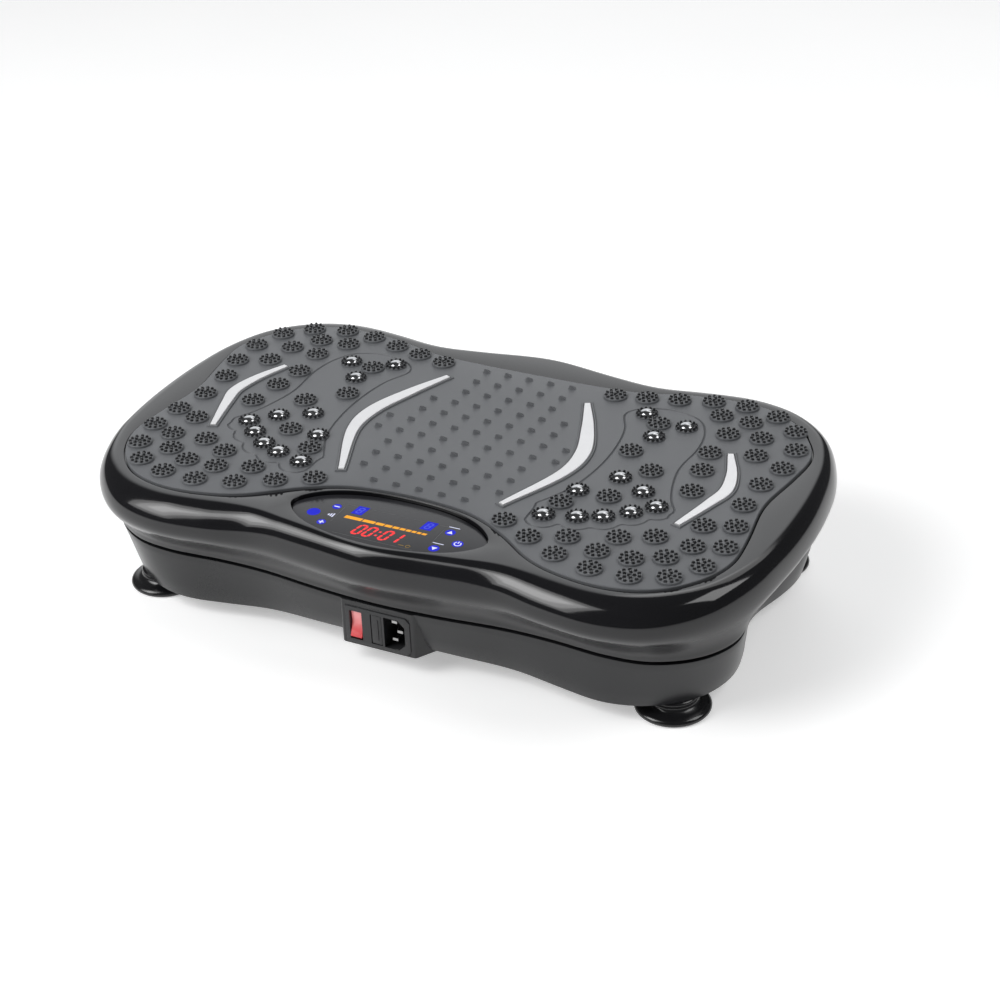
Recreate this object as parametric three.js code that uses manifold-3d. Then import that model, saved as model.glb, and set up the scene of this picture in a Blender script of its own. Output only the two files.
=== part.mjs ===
// Vibration plate: a waisted footplate that see-saws on a shaft under its middle. A motor turns a crank
// through a belt, and the crank's rod lifts and drops the right half of the deck. The deck carries a rubber
// massage mat and a touch display; the base stands on four suction feet and holds the mains inlet.
// Millimetres. X runs to the right seen from the front, Y to the back, Z up from the floor.
import * as THREE from "three";
import { mergeVertices } from "three/addons/utils/BufferGeometryUtils.js";
import Module from "manifold-3d";

// ---- Overall sizes. The outlines further down are drawn for DRAWN_LENGTH by DRAWN_WIDTH, and stretch.
const LENGTH = 520;
const WIDTH = 310;
const HEIGHT = 110;
const DRAWN_LENGTH = 520;
const DRAWN_WIDTH = 310;

// ---- Fits
const TOUCH_GAP = 0.3; // between pieces that rest on or sit in each other
const RUN_GAP = 0.3; // between a turning shaft and its bore
const ROCK_GAP = 2.6; // from the deck's lower edge down to the base's shoulder
const SKIRT_GAP = 2.2; // sideways, between the deck's skirt and the base's upstand

// ---- Deck
const DECK_WALL = 3;
const RIM_Z = HEIGHT - 5.5; // flat rim round the mat
const BELLY_Z = HEIGHT - 24; // widest level of the rolled edge
const SEAM_Z = 53; // lower edge of the deck's skirt
const DECK_UNDER_Z = RIM_Z - 6.5; // underside of the deck's top wall
const MAT_RECESS = 2; // below the flat rim
const MAT_THICK = 3.2;
const NUB_R = 9.2;
const NUB_TALL = 3.2;
const NUB_SIDES = 8;
const SPIKE_R = 3.2;
const SPIKE_TALL = 3;
const SPIKE_PITCH = 17.6;
const STUD_R = 5.3;
const STRIP_SINK = 1.5; // how deep a strip is let into the mat
const STRIP_PROUD = 1.6; // how far it stands out of it
const LENS_RECESS = 4.4;
const LENS_THICK = 1.4;

// ---- Base
const BASE_WALL = 3;
const BASE_LOW_Z = 13; // lower edge of the wall at the feet
const BASE_ARCH = 5; // how much higher that edge is at the waist
const ARCH_HALF = 150;
const SHOULDER_IN = 0.8; // the wall's top stands this much inside the skirt's edge
const FLOOR_Z = 20;
const FLOOR_THICK = 3;
const WALL_MID_Z = 30; // above the arched edge
const LEDGE_THICK = 4; // inward ledge at the top of the wall
const UPSTAND_TALL = 11; // above the shoulder, behind the deck's skirt
const UPSTAND_WALL = 2.5;
const PANEL_HALF = 28; // flat panel that holds the mains inlet
const PANEL_SLANT = 10;
const PANEL_Y = -135;
const PANEL_DEEP = 16;
const PANEL_LOW_Z = 15;
const FOOT_X = 200;
const FOOT_Y = 97;
const FOOT_R = 26;
const STEM_R = 14;

// ---- Mains inlet
const INLET_WIDE = 48;
const INLET_TALL = 28;
const INLET_DEEP = 28;
const INLET_Z = 31;
const KEY_X = -16.8;
const KEY_WIDE = 9;
const KEY_TALL = 22;
const KEY_TILT = 10; // degrees either side of square
const DRAWER_X = -1;
const DRAWER_WIDE = 8;
const DRAWER_TALL = 23;
const DRAWER_DEEP = 22;
const DRAWER_WALL = 1.2;
const DRAWER_FRONT = 3;
const KEY_DEEP = 11;
const SOCKET_X = 13;
const SOCKET_WIDE = 16;
const SOCKET_TALL = 24;
const SOCKET_DEEP = 17;
const SOCKET_CHAMFER = 5;
const PIN_THICK = 2;
const PIN_WIDE = 4;
const PIN_LONG = 13;

// ---- Drive
const PLATE_THICK = 3;
const FRAME_THICK = 4;
const RAIL_HALF = 12;
const EAR_THICK = 6;
const FRAME_Y = 60; // rails of the swing frame, either side of the middle
const PIVOT_R = 6;
const PIVOT_BLOCK_Y = 75;
const PIVOT_BLOCK_HALF = 18;
const BLOCK_HALF_THICK = 6; // of every bearing block, along its shaft
const BLOCK_RISE = 14; // above its shaft's centre
const CHASSIS_SHORTER = 150; // than the whole length
const CHASSIS_PAST_BLOCK = 17; // from a pivot block's middle to the plate's edge
const CRANK_X = 80;
const CRANK_R = 6;
const BEARING_HALF = 16;
const BEARING_BACK_Y = 36;
const THROW = 0.7; // eccentricity: half a degree of rock at CRANK_X
const JOURNAL_R = 10;
const ROD_THICK = 18;
const ROD_RUN = 2; // open play round the journal
const LINK_PIN_R = 4;
const MOTOR_X = -95;
const MOTOR_LONG = 92;
const MOTOR_AIR = 3;
const BELT_Y = -45;
const BELT_WIDE = 10;
const BELT_THICK = 3;
const BELT_SIDE_ROOM = 4; // each side of the belt, for the pulleys' flanges
const MOTOR_SHAFT_R = 4;
const MOTOR_PULLEY_R = 10;
const CRANK_PULLEY_R = 28;

// ---- Levels and places that follow from those
const SHOULDER_Z = SEAM_Z - ROCK_GAP;
const MAT_FLOOR_Z = RIM_Z - MAT_RECESS;
const MAT_LOW_Z = MAT_FLOOR_Z + TOUCH_GAP;
const MAT_TOP_Z = MAT_LOW_Z + MAT_THICK;
const LENS_FLOOR_Z = RIM_Z - LENS_RECESS;
const CHASSIS_Z = FLOOR_Z + FLOOR_THICK + TOUCH_GAP;
const CHASSIS_TOP_Z = CHASSIS_Z + PLATE_THICK;
const FRAME_TOP_Z = DECK_UNDER_Z - TOUCH_GAP;
const FRAME_LOW_Z = FRAME_TOP_Z - FRAME_THICK;
const DRIVE_Z = (CHASSIS_TOP_Z + FRAME_LOW_Z) / 2; // motor, crank and pivot share this height
const LINK_Z = FRAME_LOW_Z - 9;

// ---- Outlines, one quarter each, from the right-hand side round to the middle of the back
const RIM = [
  [246, 0], [244.5, 40], [239, 76], [224, 110], [196, 132],
  [165, 140], [130, 137], [92, 131.5], [50, 137], [0, 145.5],
];
const BELLY = [
  [260, 0], [257.5, 42], [250.5, 80], [233.5, 117], [203, 145],
  [167, 155], [127, 151.5], [91, 144.5], [51, 148.5], [0, 155],
];
const SEAM = [
  [225, 0], [233, 42], [240, 78], [227, 107], [198, 127],
  [165, 131.5], [130, 129], [92, 129], [50, 133.5], [0, 136.5],
];
const FOOTLINE = [
  [218, 0], [228, 40], [231, 68], [221, 97], [197, 119],
  [165, 129], [130, 125], [95, 120.5], [50, 124], [0, 126],
];
// Right half of the mat and of the display lens, from back to front
const MAT = [
  [0, 117], [60, 118], [90, 121], [118, 130], [165, 134.5], [196, 126], [219, 104], [233, 77], [231, 42],
  [225, 2], [230, -40], [231, -76], [218, -104], [196, -124], [165, -132], [130, -127], [108, -114],
  [80, -92], [45, -81.5], [0, -78],
];
const LENS = [[0, -81], [36, -84.5], [62, -96], [74, -112], [61, -128], [35, -138.5], [0, -142.5]];

// ---- What the mat carries on its right half; the left half is its mirror image
const NUBS = [
  [166, 127], [141, 125], [192, 120], [117, 118], [94, 112], [71, 107], [154, 107], [177, 105], [211, 104],
  [192, 86], [168, 83], [117, 79], [220, 79], [197, 61], [166, 53], [220, 51], [114, 35], [170, 28],
  [214, 25], [138, 14], [174, -1], [213, -5], [125, -29], [218, -33], [198, -40], [98, -48], [221, -60],
  [174, -65], [201, -67], [152, -75], [73, -84], [190, -86], [121, -87], [216, -87], [146, -96],
  [170, -96], [97, -97], [201, -107], [122, -110], [177, -116], [150, -117],
];
const STUDS = [
  [103, 90], [137, 82], [121, 60], [122, -2], [144, -14], [160, -29],
  [102, -29], [147, -42], [132, -54], [116, -61], [94, -67],
];
// Columns of spikes either side of the middle one, with the rows that each column fills
const SPIKE_COLUMNS = [[-4, 6], [-4, 6], [-4, 6], [-3, 3], [0, 1]];
// Centre lines of the bright strips, with their half widths at the ends and the middle
const STRIPS = {
  inner: { line: [[57, 88], [72, 55], [84, 20], [84, -8], [62, -66]], tip: 2.2, middle: 5.6 },
  outer: { line: [[180, 57], [191, 30], [195, 8], [191, -10], [181, -45]], tip: 2.2, middle: 4.6 },
};

const wasm = await Module();
wasm.setup();
const part = new THREE.Group();

const material = (color, roughness, metalness = 0) =>
  new THREE.MeshStandardMaterial({ color, roughness, metalness });
const glossyBlack = material(0x0b0b0d, 0.12);
const satinBlack = material(0x2a2b2d, 0.45);
const greyRubber = material(0x4b4e52, 0.8);
const blackRubber = material(0x141416, 0.5);
const brightTrim = material(0xd8d8da, 0.35, 0.8);
const chrome = material(0xc8cacc, 0.12, 1);
const steel = material(0x9b9da0, 0.4, 0.9);
const painted = material(0x303438, 0.55, 0.3);
const nylon = material(0xd9d5c8, 0.6);
const circuit = material(0x1e5b34, 0.6);
const smokedGlass = material(0x08080a, 0.05);
const redKey = material(0xd0202a, 0.25);

// ---- Solids
function solidOf(geometry) {
  const plain = geometry.clone();
  Object.keys(plain.attributes)
    .filter((key) => key !== "position")
    .forEach((key) => plain.deleteAttribute(key));
  const merged = mergeVertices(plain, 1e-4);
  return new wasm.Manifold(
    new wasm.Mesh({
      numProp: 3,
      vertProperties: merged.attributes.position.array,
      triVerts: new Uint32Array(merged.index.array),
    }),
  );
}

function geometryOf(solid) {
  const { vertProperties, triVerts } = solid.getMesh();
  const geometry = new THREE.BufferGeometry();
  geometry.setAttribute("position", new THREE.BufferAttribute(vertProperties, 3));
  geometry.setIndex(new THREE.BufferAttribute(triVerts, 1));
  return geometry;
}

// Adds a named piece to the part; its shape is a geometry or a solid.
function piece(name, shape, finish, parent = part) {
  const geometry = shape.isBufferGeometry ? shape : geometryOf(shape);
  const mesh = new THREE.Mesh(geometry, finish);
  mesh.name = name;
  parent.add(mesh);
  return mesh;
}

const join = (...solids) => solids.reduce((all, next) => all.add(next));
const cut = (body, ...tools) => tools.reduce((left, tool) => left.subtract(tool), body);

// ---- Simple shapes
function block([x0, x1], [y0, y1], [z0, z1]) {
  const geometry = new THREE.BoxGeometry(x1 - x0, y1 - y0, z1 - z0);
  return solidOf(geometry.translate((x0 + x1) / 2, (y0 + y1) / 2, (z0 + z1) / 2));
}

// A round bar along Y, from y0 to y1.
function bar(radius, x, z, [y0, y1], sides = 24) {
  const geometry = new THREE.CylinderGeometry(radius, radius, y1 - y0, sides);
  return solidOf(geometry.translate(x, (y0 + y1) / 2, z));
}

// An upright disc or peg at [x, y], from z0 to z1.
function peg(radiusLow, radiusTop, [x, y], [z0, z1], sides) {
  const geometry = new THREE.CylinderGeometry(radiusTop, radiusLow, z1 - z0, sides);
  return solidOf(geometry.rotateX(Math.PI / 2).translate(x, y, (z0 + z1) / 2));
}

function turned(profile, sides) {
  const points = profile.map(([r, z]) => new THREE.Vector2(r, z));
  return new THREE.LatheGeometry(points, sides).rotateX(Math.PI / 2);
}

// A plan outline as an upright solid from z0 to z1.
function prism(points, [z0, z1]) {
  const shape = new THREE.Shape(points.map((p) => new THREE.Vector2(p.x, p.y)));
  const geometry = new THREE.ExtrudeGeometry(shape, { depth: z1 - z0, bevelEnabled: false });
  return solidOf(geometry.translate(0, 0, z0));
}

// ---- Outlines
const stretch = ([x, y]) => new THREE.Vector2((x * LENGTH) / DRAWN_LENGTH, (y * WIDTH) / DRAWN_WIDTH);

function smooth(points, steps) {
  const corners = points.map(stretch).map((p) => new THREE.Vector3(p.x, p.y, 0));
  const curve = new THREE.CatmullRomCurve3(corners, true, "centripetal");
  const count = points.length * steps;
  return Array.from({ length: count }, (_, i) => curve.getPoint(i / count));
}

// Mirrors one quarter into the whole outline, anticlockwise from the right-hand side.
function fromQuarter(quarter, steps = 2) {
  const leftBack = quarter.slice(0, -1).reverse().map(([x, y]) => [-x, y]);
  const back = quarter.concat(leftBack);
  const front = back.slice(1, -1).reverse().map(([x, y]) => [x, -y]);
  return smooth(back.concat(front), steps);
}

// Mirrors a right half, given from back to front, into the whole outline, anticlockwise.
function fromHalf(half, steps = 2) {
  const left = half.slice(1, -1).map(([x, y]) => [-x, y]);
  return smooth(left.reverse().concat([half[0]]).reverse().concat(half.slice(1).reverse()), steps);
}

// Moves an outline inwards by a distance; a negative distance moves it outwards.
function inset(points, distance) {
  return points.map((p, i) => {
    const before = points[(i + points.length - 1) % points.length];
    const after = points[(i + 1) % points.length];
    const along = new THREE.Vector2(after.x - before.x, after.y - before.y).normalize();
    return new THREE.Vector3(p.x - along.y * distance, p.y + along.x * distance, p.z);
  });
}

const between = (from, to, share) => from.map((p, i) => p.clone().lerp(to[i], share));
const atHeight = (points, z) => points.map((p) => new THREE.Vector3(p.x, p.y, z));

// Skins a stack of rings with equal counts, from the lowest up, and closes both ends.
function loft(rings) {
  const count = rings[0].length;
  const middle = (ring) => new THREE.Vector3(0, 0, ring.reduce((sum, p) => sum + p.z, 0) / count);
  const points = rings.flat().concat(middle(rings[0]), middle(rings.at(-1)));
  const low = points.length - 2;
  const index = [];
  for (let i = 0; i < count; i++) {
    const next = (i + 1) % count;
    for (let k = 0; k < rings.length - 1; k++) {
      const a = k * count + i;
      const b = k * count + next;
      index.push(a, b, a + count, b, b + count, a + count);
    }
    const top = (rings.length - 1) * count;
    index.push(low, next, i, low + 1, top + i, top + next);
  }
  return solidOf(new THREE.BufferGeometry().setFromPoints(points).setIndex(index));
}

// ---- Deck shell: a thin moulding with a rolled edge over a skirt that tucks in and flares at the seam
const rim = fromQuarter(RIM);
const belly = fromQuarter(BELLY);
const seam = fromQuarter(SEAM);
const footline = fromQuarter(FOOTLINE);

// The deck's wall at a level, moved inwards by its thickness.
function deckWall(z, wall) {
  if (z <= BELLY_Z) {
    const climb = (1 - Math.cos((Math.PI * (z - SEAM_Z)) / (BELLY_Z - SEAM_Z))) / 2;
    return atHeight(inset(between(seam, belly, climb), wall), z);
  }
  const rise = Math.min((z - BELLY_Z) / (RIM_Z - BELLY_Z), 1);
  return atHeight(inset(between(rim, belly, Math.sqrt(1 - rise * rise)), wall), z);
}

// Evenly spaced numbers, both ends included.
function levels(from, to, count) {
  return Array.from({ length: count }, (_, i) => from + ((to - from) * i) / (count - 1));
}

// Levels up the rolled edge, spaced by angle.
function rollLevels(top, count) {
  const reach = Math.asin(Math.min((top - BELLY_Z) / (RIM_Z - BELLY_Z), 1));
  return levels(0, reach, count).slice(1).map((angle) => BELLY_Z + (RIM_Z - BELLY_Z) * Math.sin(angle));
}

const matOutline = fromHalf(MAT);
const lensOutline = fromHalf(LENS, 3);

function deckShell() {
  const outerLevels = [...levels(SEAM_Z, BELLY_Z, 6), ...rollLevels(RIM_Z, 5)];
  const innerLevels = [...levels(SEAM_Z, BELLY_Z, 4), ...rollLevels(DECK_UNDER_Z, 3)];
  const outside = outerLevels.map((z) => deckWall(z, 0));
  const inside = innerLevels.map((z) => deckWall(z, DECK_WALL));
  inside[0] = atHeight(inside[0], SEAM_Z - 1); // the cutter starts just below the edge
  return cut(
    loft(outside),
    loft(inside),
    prism(inset(matOutline, -TOUCH_GAP), [MAT_FLOOR_Z, HEIGHT]),
    prism(inset(lensOutline, -TOUCH_GAP), [LENS_FLOOR_Z, HEIGHT]),
  );
}
piece("deck_shell", deckShell(), glossyBlack);

// ---- Bright strips, let into the mat
function stripOutline({ line, tip, middle }, side, extra) {
  const centre = new THREE.CatmullRomCurve3(line.map(([x, y]) => {
    const p = stretch([side * x, y]);
    return new THREE.Vector3(p.x, p.y, 0);
  }));
  const shares = levels(0, 1, 9);
  const edge = (sign) => shares.map((share) => {
    const half = tip + (middle - tip) * Math.sin(Math.PI * share) + extra;
    const along = centre.getTangent(share);
    const reach = extra * Math.sign(share - 0.5) * (share === 0 || share === 1 ? 1 : 0);
    const p = centre.getPoint(share);
    return new THREE.Vector3(
      p.x - sign * along.y * half + along.x * reach,
      p.y + sign * along.x * half + along.y * reach,
      0,
    );
  });
  return edge(-1).concat(edge(1).reverse());
}

const sides = [[1, "right"], [-1, "left"]];
const strips = sides.flatMap(([side, word]) =>
  Object.entries(STRIPS).map(([key, strip]) => ({ name: `strip_${key}_${word}`, strip, side })),
);
strips.forEach(({ name, strip, side }) => {
  const low = MAT_TOP_Z - STRIP_SINK + TOUCH_GAP;
  piece(name, prism(stripOutline(strip, side, 0), [low, MAT_TOP_Z + STRIP_PROUD]), brightTrim);
});

// ---- Magnet studs: steel-capped pegs that stand in holes through the mat
const places = (list) => sides.flatMap(([side, word]) =>
  list.map(([x, y], i) => ({ at: stretch([side * x, y]), word, number: i + 1 })),
);
const studPlaces = places(STUDS);
const studShape = turned([
  [0, MAT_LOW_Z], [STUD_R, MAT_LOW_Z], [STUD_R, HEIGHT - 3], [STUD_R * 0.85, HEIGHT - 1.4],
  [STUD_R * 0.5, HEIGHT - 0.3], [0, HEIGHT],
], NUB_SIDES);
studPlaces.forEach(({ at, word, number }) => {
  const stud = piece(`magnet_stud_${word}_${String(number).padStart(2, "0")}`, studShape, chrome);
  stud.position.set(at.x, at.y, 0);
});

// ---- Massage mat: one moulded rubber sheet with discs and spikes
function topMat() {
  const discs = places(NUBS).map(({ at }) =>
    peg(NUB_R, NUB_R - 0.5, [at.x, at.y], [MAT_TOP_Z - 0.5, MAT_TOP_Z + NUB_TALL], NUB_SIDES),
  );
  const spikes = SPIKE_COLUMNS.flatMap(([first, last], column) =>
    levels(first, last, last - first + 1).flatMap((row) =>
      (column ? [1, -1] : [1]).map((side) => {
        const at = stretch([side * column * SPIKE_PITCH, row * SPIKE_PITCH]);
        return peg(SPIKE_R, 0.2, [at.x, at.y], [MAT_TOP_Z - 0.2, MAT_TOP_Z + SPIKE_TALL], 3);
      }),
    ),
  );
  const holes = studPlaces.map(({ at }) =>
    peg(STUD_R + TOUCH_GAP, STUD_R + TOUCH_GAP, [at.x, at.y], [0, HEIGHT], NUB_SIDES),
  );
  const pockets = strips.map(({ strip, side }) =>
    prism(stripOutline(strip, side, TOUCH_GAP), [MAT_TOP_Z - STRIP_SINK, HEIGHT]),
  );
  return cut(join(prism(matOutline, [MAT_LOW_Z, MAT_TOP_Z]), ...discs, ...spikes), ...pockets, ...holes);
}
piece("top_mat", topMat(), greyRubber);

// ---- Display: a smoked lens in its own recess and the board under the deck
const lensLow = LENS_FLOOR_Z + TOUCH_GAP;
piece("display_lens", prism(lensOutline, [lensLow, lensLow + LENS_THICK]), smokedGlass);
const boardFront = stretch([0, -134]).y;
const boardTop = DECK_UNDER_Z - TOUCH_GAP;
piece(
  "display_board",
  join(
    block([-58, 58], [boardFront, boardFront + 40], [boardTop - 8, boardTop - 6]),
    block([-30, 30], [boardFront + 6, boardFront + 30], [boardTop - 6.5, boardTop]),
  ),
  circuit,
);

// ---- Base shell: a tray with a flat panel in front, an upstand behind the deck's skirt, and a raised floor
const shoulder = inset(seam, SHOULDER_IN);

function archedEdge(points) {
  return points.map((p) => {
    const near = Math.max(0, 1 - Math.abs(p.x) / ARCH_HALF);
    return new THREE.Vector3(p.x, p.y, BASE_LOW_Z + (BASE_ARCH * (1 - Math.cos(Math.PI * near))) / 2);
  });
}

const rows = [[-1, "front"], [1, "back"]];
const footPlaces = rows.flatMap(([end, row]) =>
  sides.map(([side, word]) => ({ at: stretch([side * FOOT_X, end * FOOT_Y]), row, word })),
);

const panelY = (PANEL_Y * WIDTH) / DRAWN_WIDTH;

const panelOutline = [
  [-PANEL_HALF, panelY], [PANEL_HALF, panelY],
  [PANEL_HALF + PANEL_SLANT, panelY + PANEL_DEEP], [-PANEL_HALF - PANEL_SLANT, panelY + PANEL_DEEP],
].map(([x, y]) => new THREE.Vector2(x, y));

function baseShell() {
  const upstandInset = DECK_WALL + SKIRT_GAP;
  const upstandTop = SHOULDER_Z + UPSTAND_TALL;
  const ledgeZ = SHOULDER_Z - LEDGE_THICK;
  const floorTop = FLOOR_Z + FLOOR_THICK;
  const wallAt = (z) => between(footline, shoulder, (z - BASE_LOW_Z) / (SHOULDER_Z - BASE_LOW_Z));
  const wall = loft([
    archedEdge(footline), atHeight(wallAt(WALL_MID_Z), WALL_MID_Z), atHeight(shoulder, SHOULDER_Z),
  ]);
  const upstand = inset(seam, upstandInset);
  return cut(
    join(
      wall,
      loft([atHeight(upstand, ledgeZ), atHeight(upstand, upstandTop)]),
      prism(panelOutline, [PANEL_LOW_Z, SHOULDER_Z - 0.2]),
    ),
    loft([
      atHeight(inset(wallAt(floorTop), BASE_WALL), floorTop),
      atHeight(inset(wallAt(ledgeZ), BASE_WALL), ledgeZ),
    ]),
    loft([
      atHeight(inset(seam, upstandInset + UPSTAND_WALL), ledgeZ - 1),
      atHeight(inset(seam, upstandInset + UPSTAND_WALL), upstandTop + 1),
    ]),
    loft([atHeight(inset(footline, BASE_WALL), 0), atHeight(inset(wallAt(FLOOR_Z), BASE_WALL), FLOOR_Z)]),
    inletBlock(TOUCH_GAP, [panelY - 5, panelY + INLET_DEEP + 5]),
    ...footPlaces.map(({ at }) => peg(STEM_R + 1, STEM_R + 1, [at.x, at.y], [0, FLOOR_Z], 20)),
  );
}

function inletBlock(extra, depth) {
  const half = INLET_WIDE / 2 + extra;
  const rise = INLET_TALL / 2 + extra;
  return block([-half, half], depth, [INLET_Z - rise, INLET_Z + rise]);
}
piece("base_shell", baseShell(), satinBlack);

// ---- Feet: rubber suction feet on short stems under the four lobes
const footShape = turned([
  [0, 2.5], [FOOT_R - 12, 2], [FOOT_R - 6, 0], [FOOT_R - 1.5, 0], [FOOT_R, 2.2], [FOOT_R - 2, 5],
  [FOOT_R - 8.5, 7], [STEM_R, 10.5], [STEM_R, FLOOR_Z - TOUCH_GAP], [0, FLOOR_Z - TOUCH_GAP],
], 20);
footPlaces.forEach(({ at, row, word }) => {
  piece(`foot_${row}_${word}`, footShape, blackRubber).position.set(at.x, at.y, 0);
});

// ---- Chassis plate on the floor, with the two blocks that carry the pivot shaft
const chassisHalf = (LENGTH - CHASSIS_SHORTER) / 2;
const chassisDeep = PIVOT_BLOCK_Y + CHASSIS_PAST_BLOCK;

// The belt only reaches the plate or the swing frame, and the inlet the plate, if one of them is made larger
function beltPit() {
  const outline = new THREE.Shape(beltLoop(BELT_THICK + TOUCH_GAP));
  const depth = BELT_WIDE + 2 * BELT_SIDE_ROOM;
  const pit = new THREE.ExtrudeGeometry(outline, { depth, bevelEnabled: false });
  return solidOf(pit.rotateX(Math.PI / 2).translate(0, BELT_Y + depth / 2, 0));
}
piece(
  "chassis_plate",
  cut(
    block([-chassisHalf, chassisHalf], [-chassisDeep, chassisDeep], [CHASSIS_Z, CHASSIS_TOP_Z]),
    beltPit(), inletBlock(2 * TOUCH_GAP, [panelY - 1, panelY + INLET_DEEP + 2 * TOUCH_GAP]),
  ),
  steel,
);
rows.forEach(([end, row]) => {
  const span = [end * PIVOT_BLOCK_Y - BLOCK_HALF_THICK, end * PIVOT_BLOCK_Y + BLOCK_HALF_THICK];
  const body = block(
    [-PIVOT_BLOCK_HALF, PIVOT_BLOCK_HALF], span, [CHASSIS_TOP_Z + TOUCH_GAP, DRIVE_Z + BLOCK_RISE],
  );
  const bore = bar(PIVOT_R + RUN_GAP, 0, DRIVE_Z, [span[0] - 1, span[1] + 1]);
  piece(`pivot_block_${row}`, cut(body, bore), painted);
});
piece("pivot_shaft", bar(PIVOT_R, 0, DRIVE_Z, [-PIVOT_BLOCK_Y - 8, PIVOT_BLOCK_Y + 8]), steel);

// ---- Swing frame: two rails and two cross bars under the deck, with ears for the shaft and the rod's pin
function swingFrame() {
  const half = chassisHalf - 20;
  const sheet = [FRAME_LOW_Z, FRAME_TOP_Z];
  const rail = (y) => block([-half, half], [y - RAIL_HALF, y + RAIL_HALF], sheet);
  const cross = (x, wide) => block([x - wide, x + wide], [-FRAME_Y, FRAME_Y], sheet);
  const ear = (x, y, z, wide, drop) =>
    block([x - wide, x + wide], [y - EAR_THICK / 2, y + EAR_THICK / 2], [z - drop, FRAME_LOW_Z + 1]);
  const earY = ROD_THICK / 2 + EAR_THICK / 2 + 3.5;
  return cut(
    join(
      rail(-FRAME_Y), rail(FRAME_Y), cross(-half + 15, 15), cross(half - 15, 15), cross(CRANK_X, 14),
      ear(0, -FRAME_Y, DRIVE_Z, 13, 11), ear(0, FRAME_Y, DRIVE_Z, 13, 11),
      ear(CRANK_X, -earY, LINK_Z, 9, 8), ear(CRANK_X, earY, LINK_Z, 9, 8),
    ),
    bar(PIVOT_R + TOUCH_GAP, 0, DRIVE_Z, [-FRAME_Y - 9, FRAME_Y + 9]),
    bar(LINK_PIN_R + TOUCH_GAP, CRANK_X, LINK_Z, [-earY - 9, earY + 9]),
    beltPit(),
  );
}
piece("swing_frame", swingFrame(), steel);
const linkReach = ROD_THICK / 2 + 12;
piece("link_pin", bar(LINK_PIN_R, CRANK_X, LINK_Z, [-linkReach, linkReach]), steel);

// ---- Connecting rod: a small eye on the link pin and a big eye round the crank's journal
function connectingRod() {
  const span = [-ROD_THICK / 2, ROD_THICK / 2];
  const through = [span[0] - 1, span[1] + 1];
  return cut(
    join(
      bar(JOURNAL_R + ROD_RUN + 5, CRANK_X, DRIVE_Z, span, 32),
      block([CRANK_X - 5, CRANK_X + 5], span, [DRIVE_Z + JOURNAL_R + 4, LINK_Z]),
      bar(LINK_PIN_R + 4, CRANK_X, LINK_Z, span),
    ),
    bar(JOURNAL_R + ROD_RUN, CRANK_X, DRIVE_Z, through, 32),
    bar(LINK_PIN_R + RUN_GAP, CRANK_X, LINK_Z, through),
  );
}
piece("connecting_rod", connectingRod(), steel);

// ---- Crank: a shaft with one eccentric journal, in two bearing blocks, driven by the large pulley
const crankFront = BELT_Y - 25;
const crankBack = BEARING_BACK_Y + 10;
const journalHalf = ROD_THICK / 2 + 2.5;
piece(
  "crank_shaft",
  join(
    bar(CRANK_R, CRANK_X, DRIVE_Z, [crankFront, crankBack]),
    bar(JOURNAL_R, CRANK_X, DRIVE_Z + THROW, [-journalHalf, journalHalf]),
  ),
  steel,
);
[[BELT_Y - 15, "front"], [BEARING_BACK_Y, "back"]].forEach(([y, row]) => {
  const body = block(
    [CRANK_X - BEARING_HALF, CRANK_X + BEARING_HALF], [y - BLOCK_HALF_THICK, y + BLOCK_HALF_THICK],
    [CHASSIS_TOP_Z + TOUCH_GAP, DRIVE_Z + BLOCK_RISE - 1],
  );
  const bore = bar(CRANK_R + RUN_GAP, CRANK_X, DRIVE_Z, [y - 7, y + 7]);
  piece(`bearing_block_${row}`, cut(body, bore), painted);
});

const beltSpan = [BELT_Y - BELT_WIDE / 2, BELT_Y + BELT_WIDE / 2];

function pulley(radius, x, shaftRadius) {
  const flange = (y) => bar(radius + 2, x, DRIVE_Z, [y - 0.8, y + 0.8], 32);
  return cut(
    join(
      bar(radius, x, DRIVE_Z, [beltSpan[0] - 2, beltSpan[1] + 2], 32),
      flange(beltSpan[0] - 1.5), flange(beltSpan[1] + 1.5),
    ),
    bar(shaftRadius + TOUCH_GAP, x, DRIVE_Z, [beltSpan[0] - 4, beltSpan[1] + 4]),
  );
}
piece("crank_pulley", pulley(CRANK_PULLEY_R, CRANK_X, CRANK_R), nylon);
piece("motor_pulley", pulley(MOTOR_PULLEY_R, MOTOR_X, MOTOR_SHAFT_R), nylon);

// ---- Belt: an open loop round both pulleys
function beltLoop(extra) {
  const arc = (x, radius, from, to) => levels(from, to, 17).map((angle) => {
    const reach = radius + TOUCH_GAP + extra;
    return new THREE.Vector2(x + reach * Math.cos(angle), DRIVE_Z + reach * Math.sin(angle));
  });
  const lean = Math.asin((CRANK_PULLEY_R - MOTOR_PULLEY_R) / (CRANK_X - MOTOR_X));
  const right = arc(CRANK_X, CRANK_PULLEY_R, -Math.PI / 2 - lean, Math.PI / 2 + lean);
  const left = arc(MOTOR_X, MOTOR_PULLEY_R, Math.PI / 2 + lean, (3 * Math.PI) / 2 - lean);
  return right.concat(left);
}
const beltShape = new THREE.Shape(beltLoop(BELT_THICK));
beltShape.holes.push(new THREE.Path(beltLoop(0)));
piece(
  "drive_belt",
  new THREE.ExtrudeGeometry(beltShape, { depth: BELT_WIDE - 0.6, bevelEnabled: false })
    .rotateX(Math.PI / 2)
    .translate(0, beltSpan[1] - 0.3, 0),
  blackRubber,
);

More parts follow.
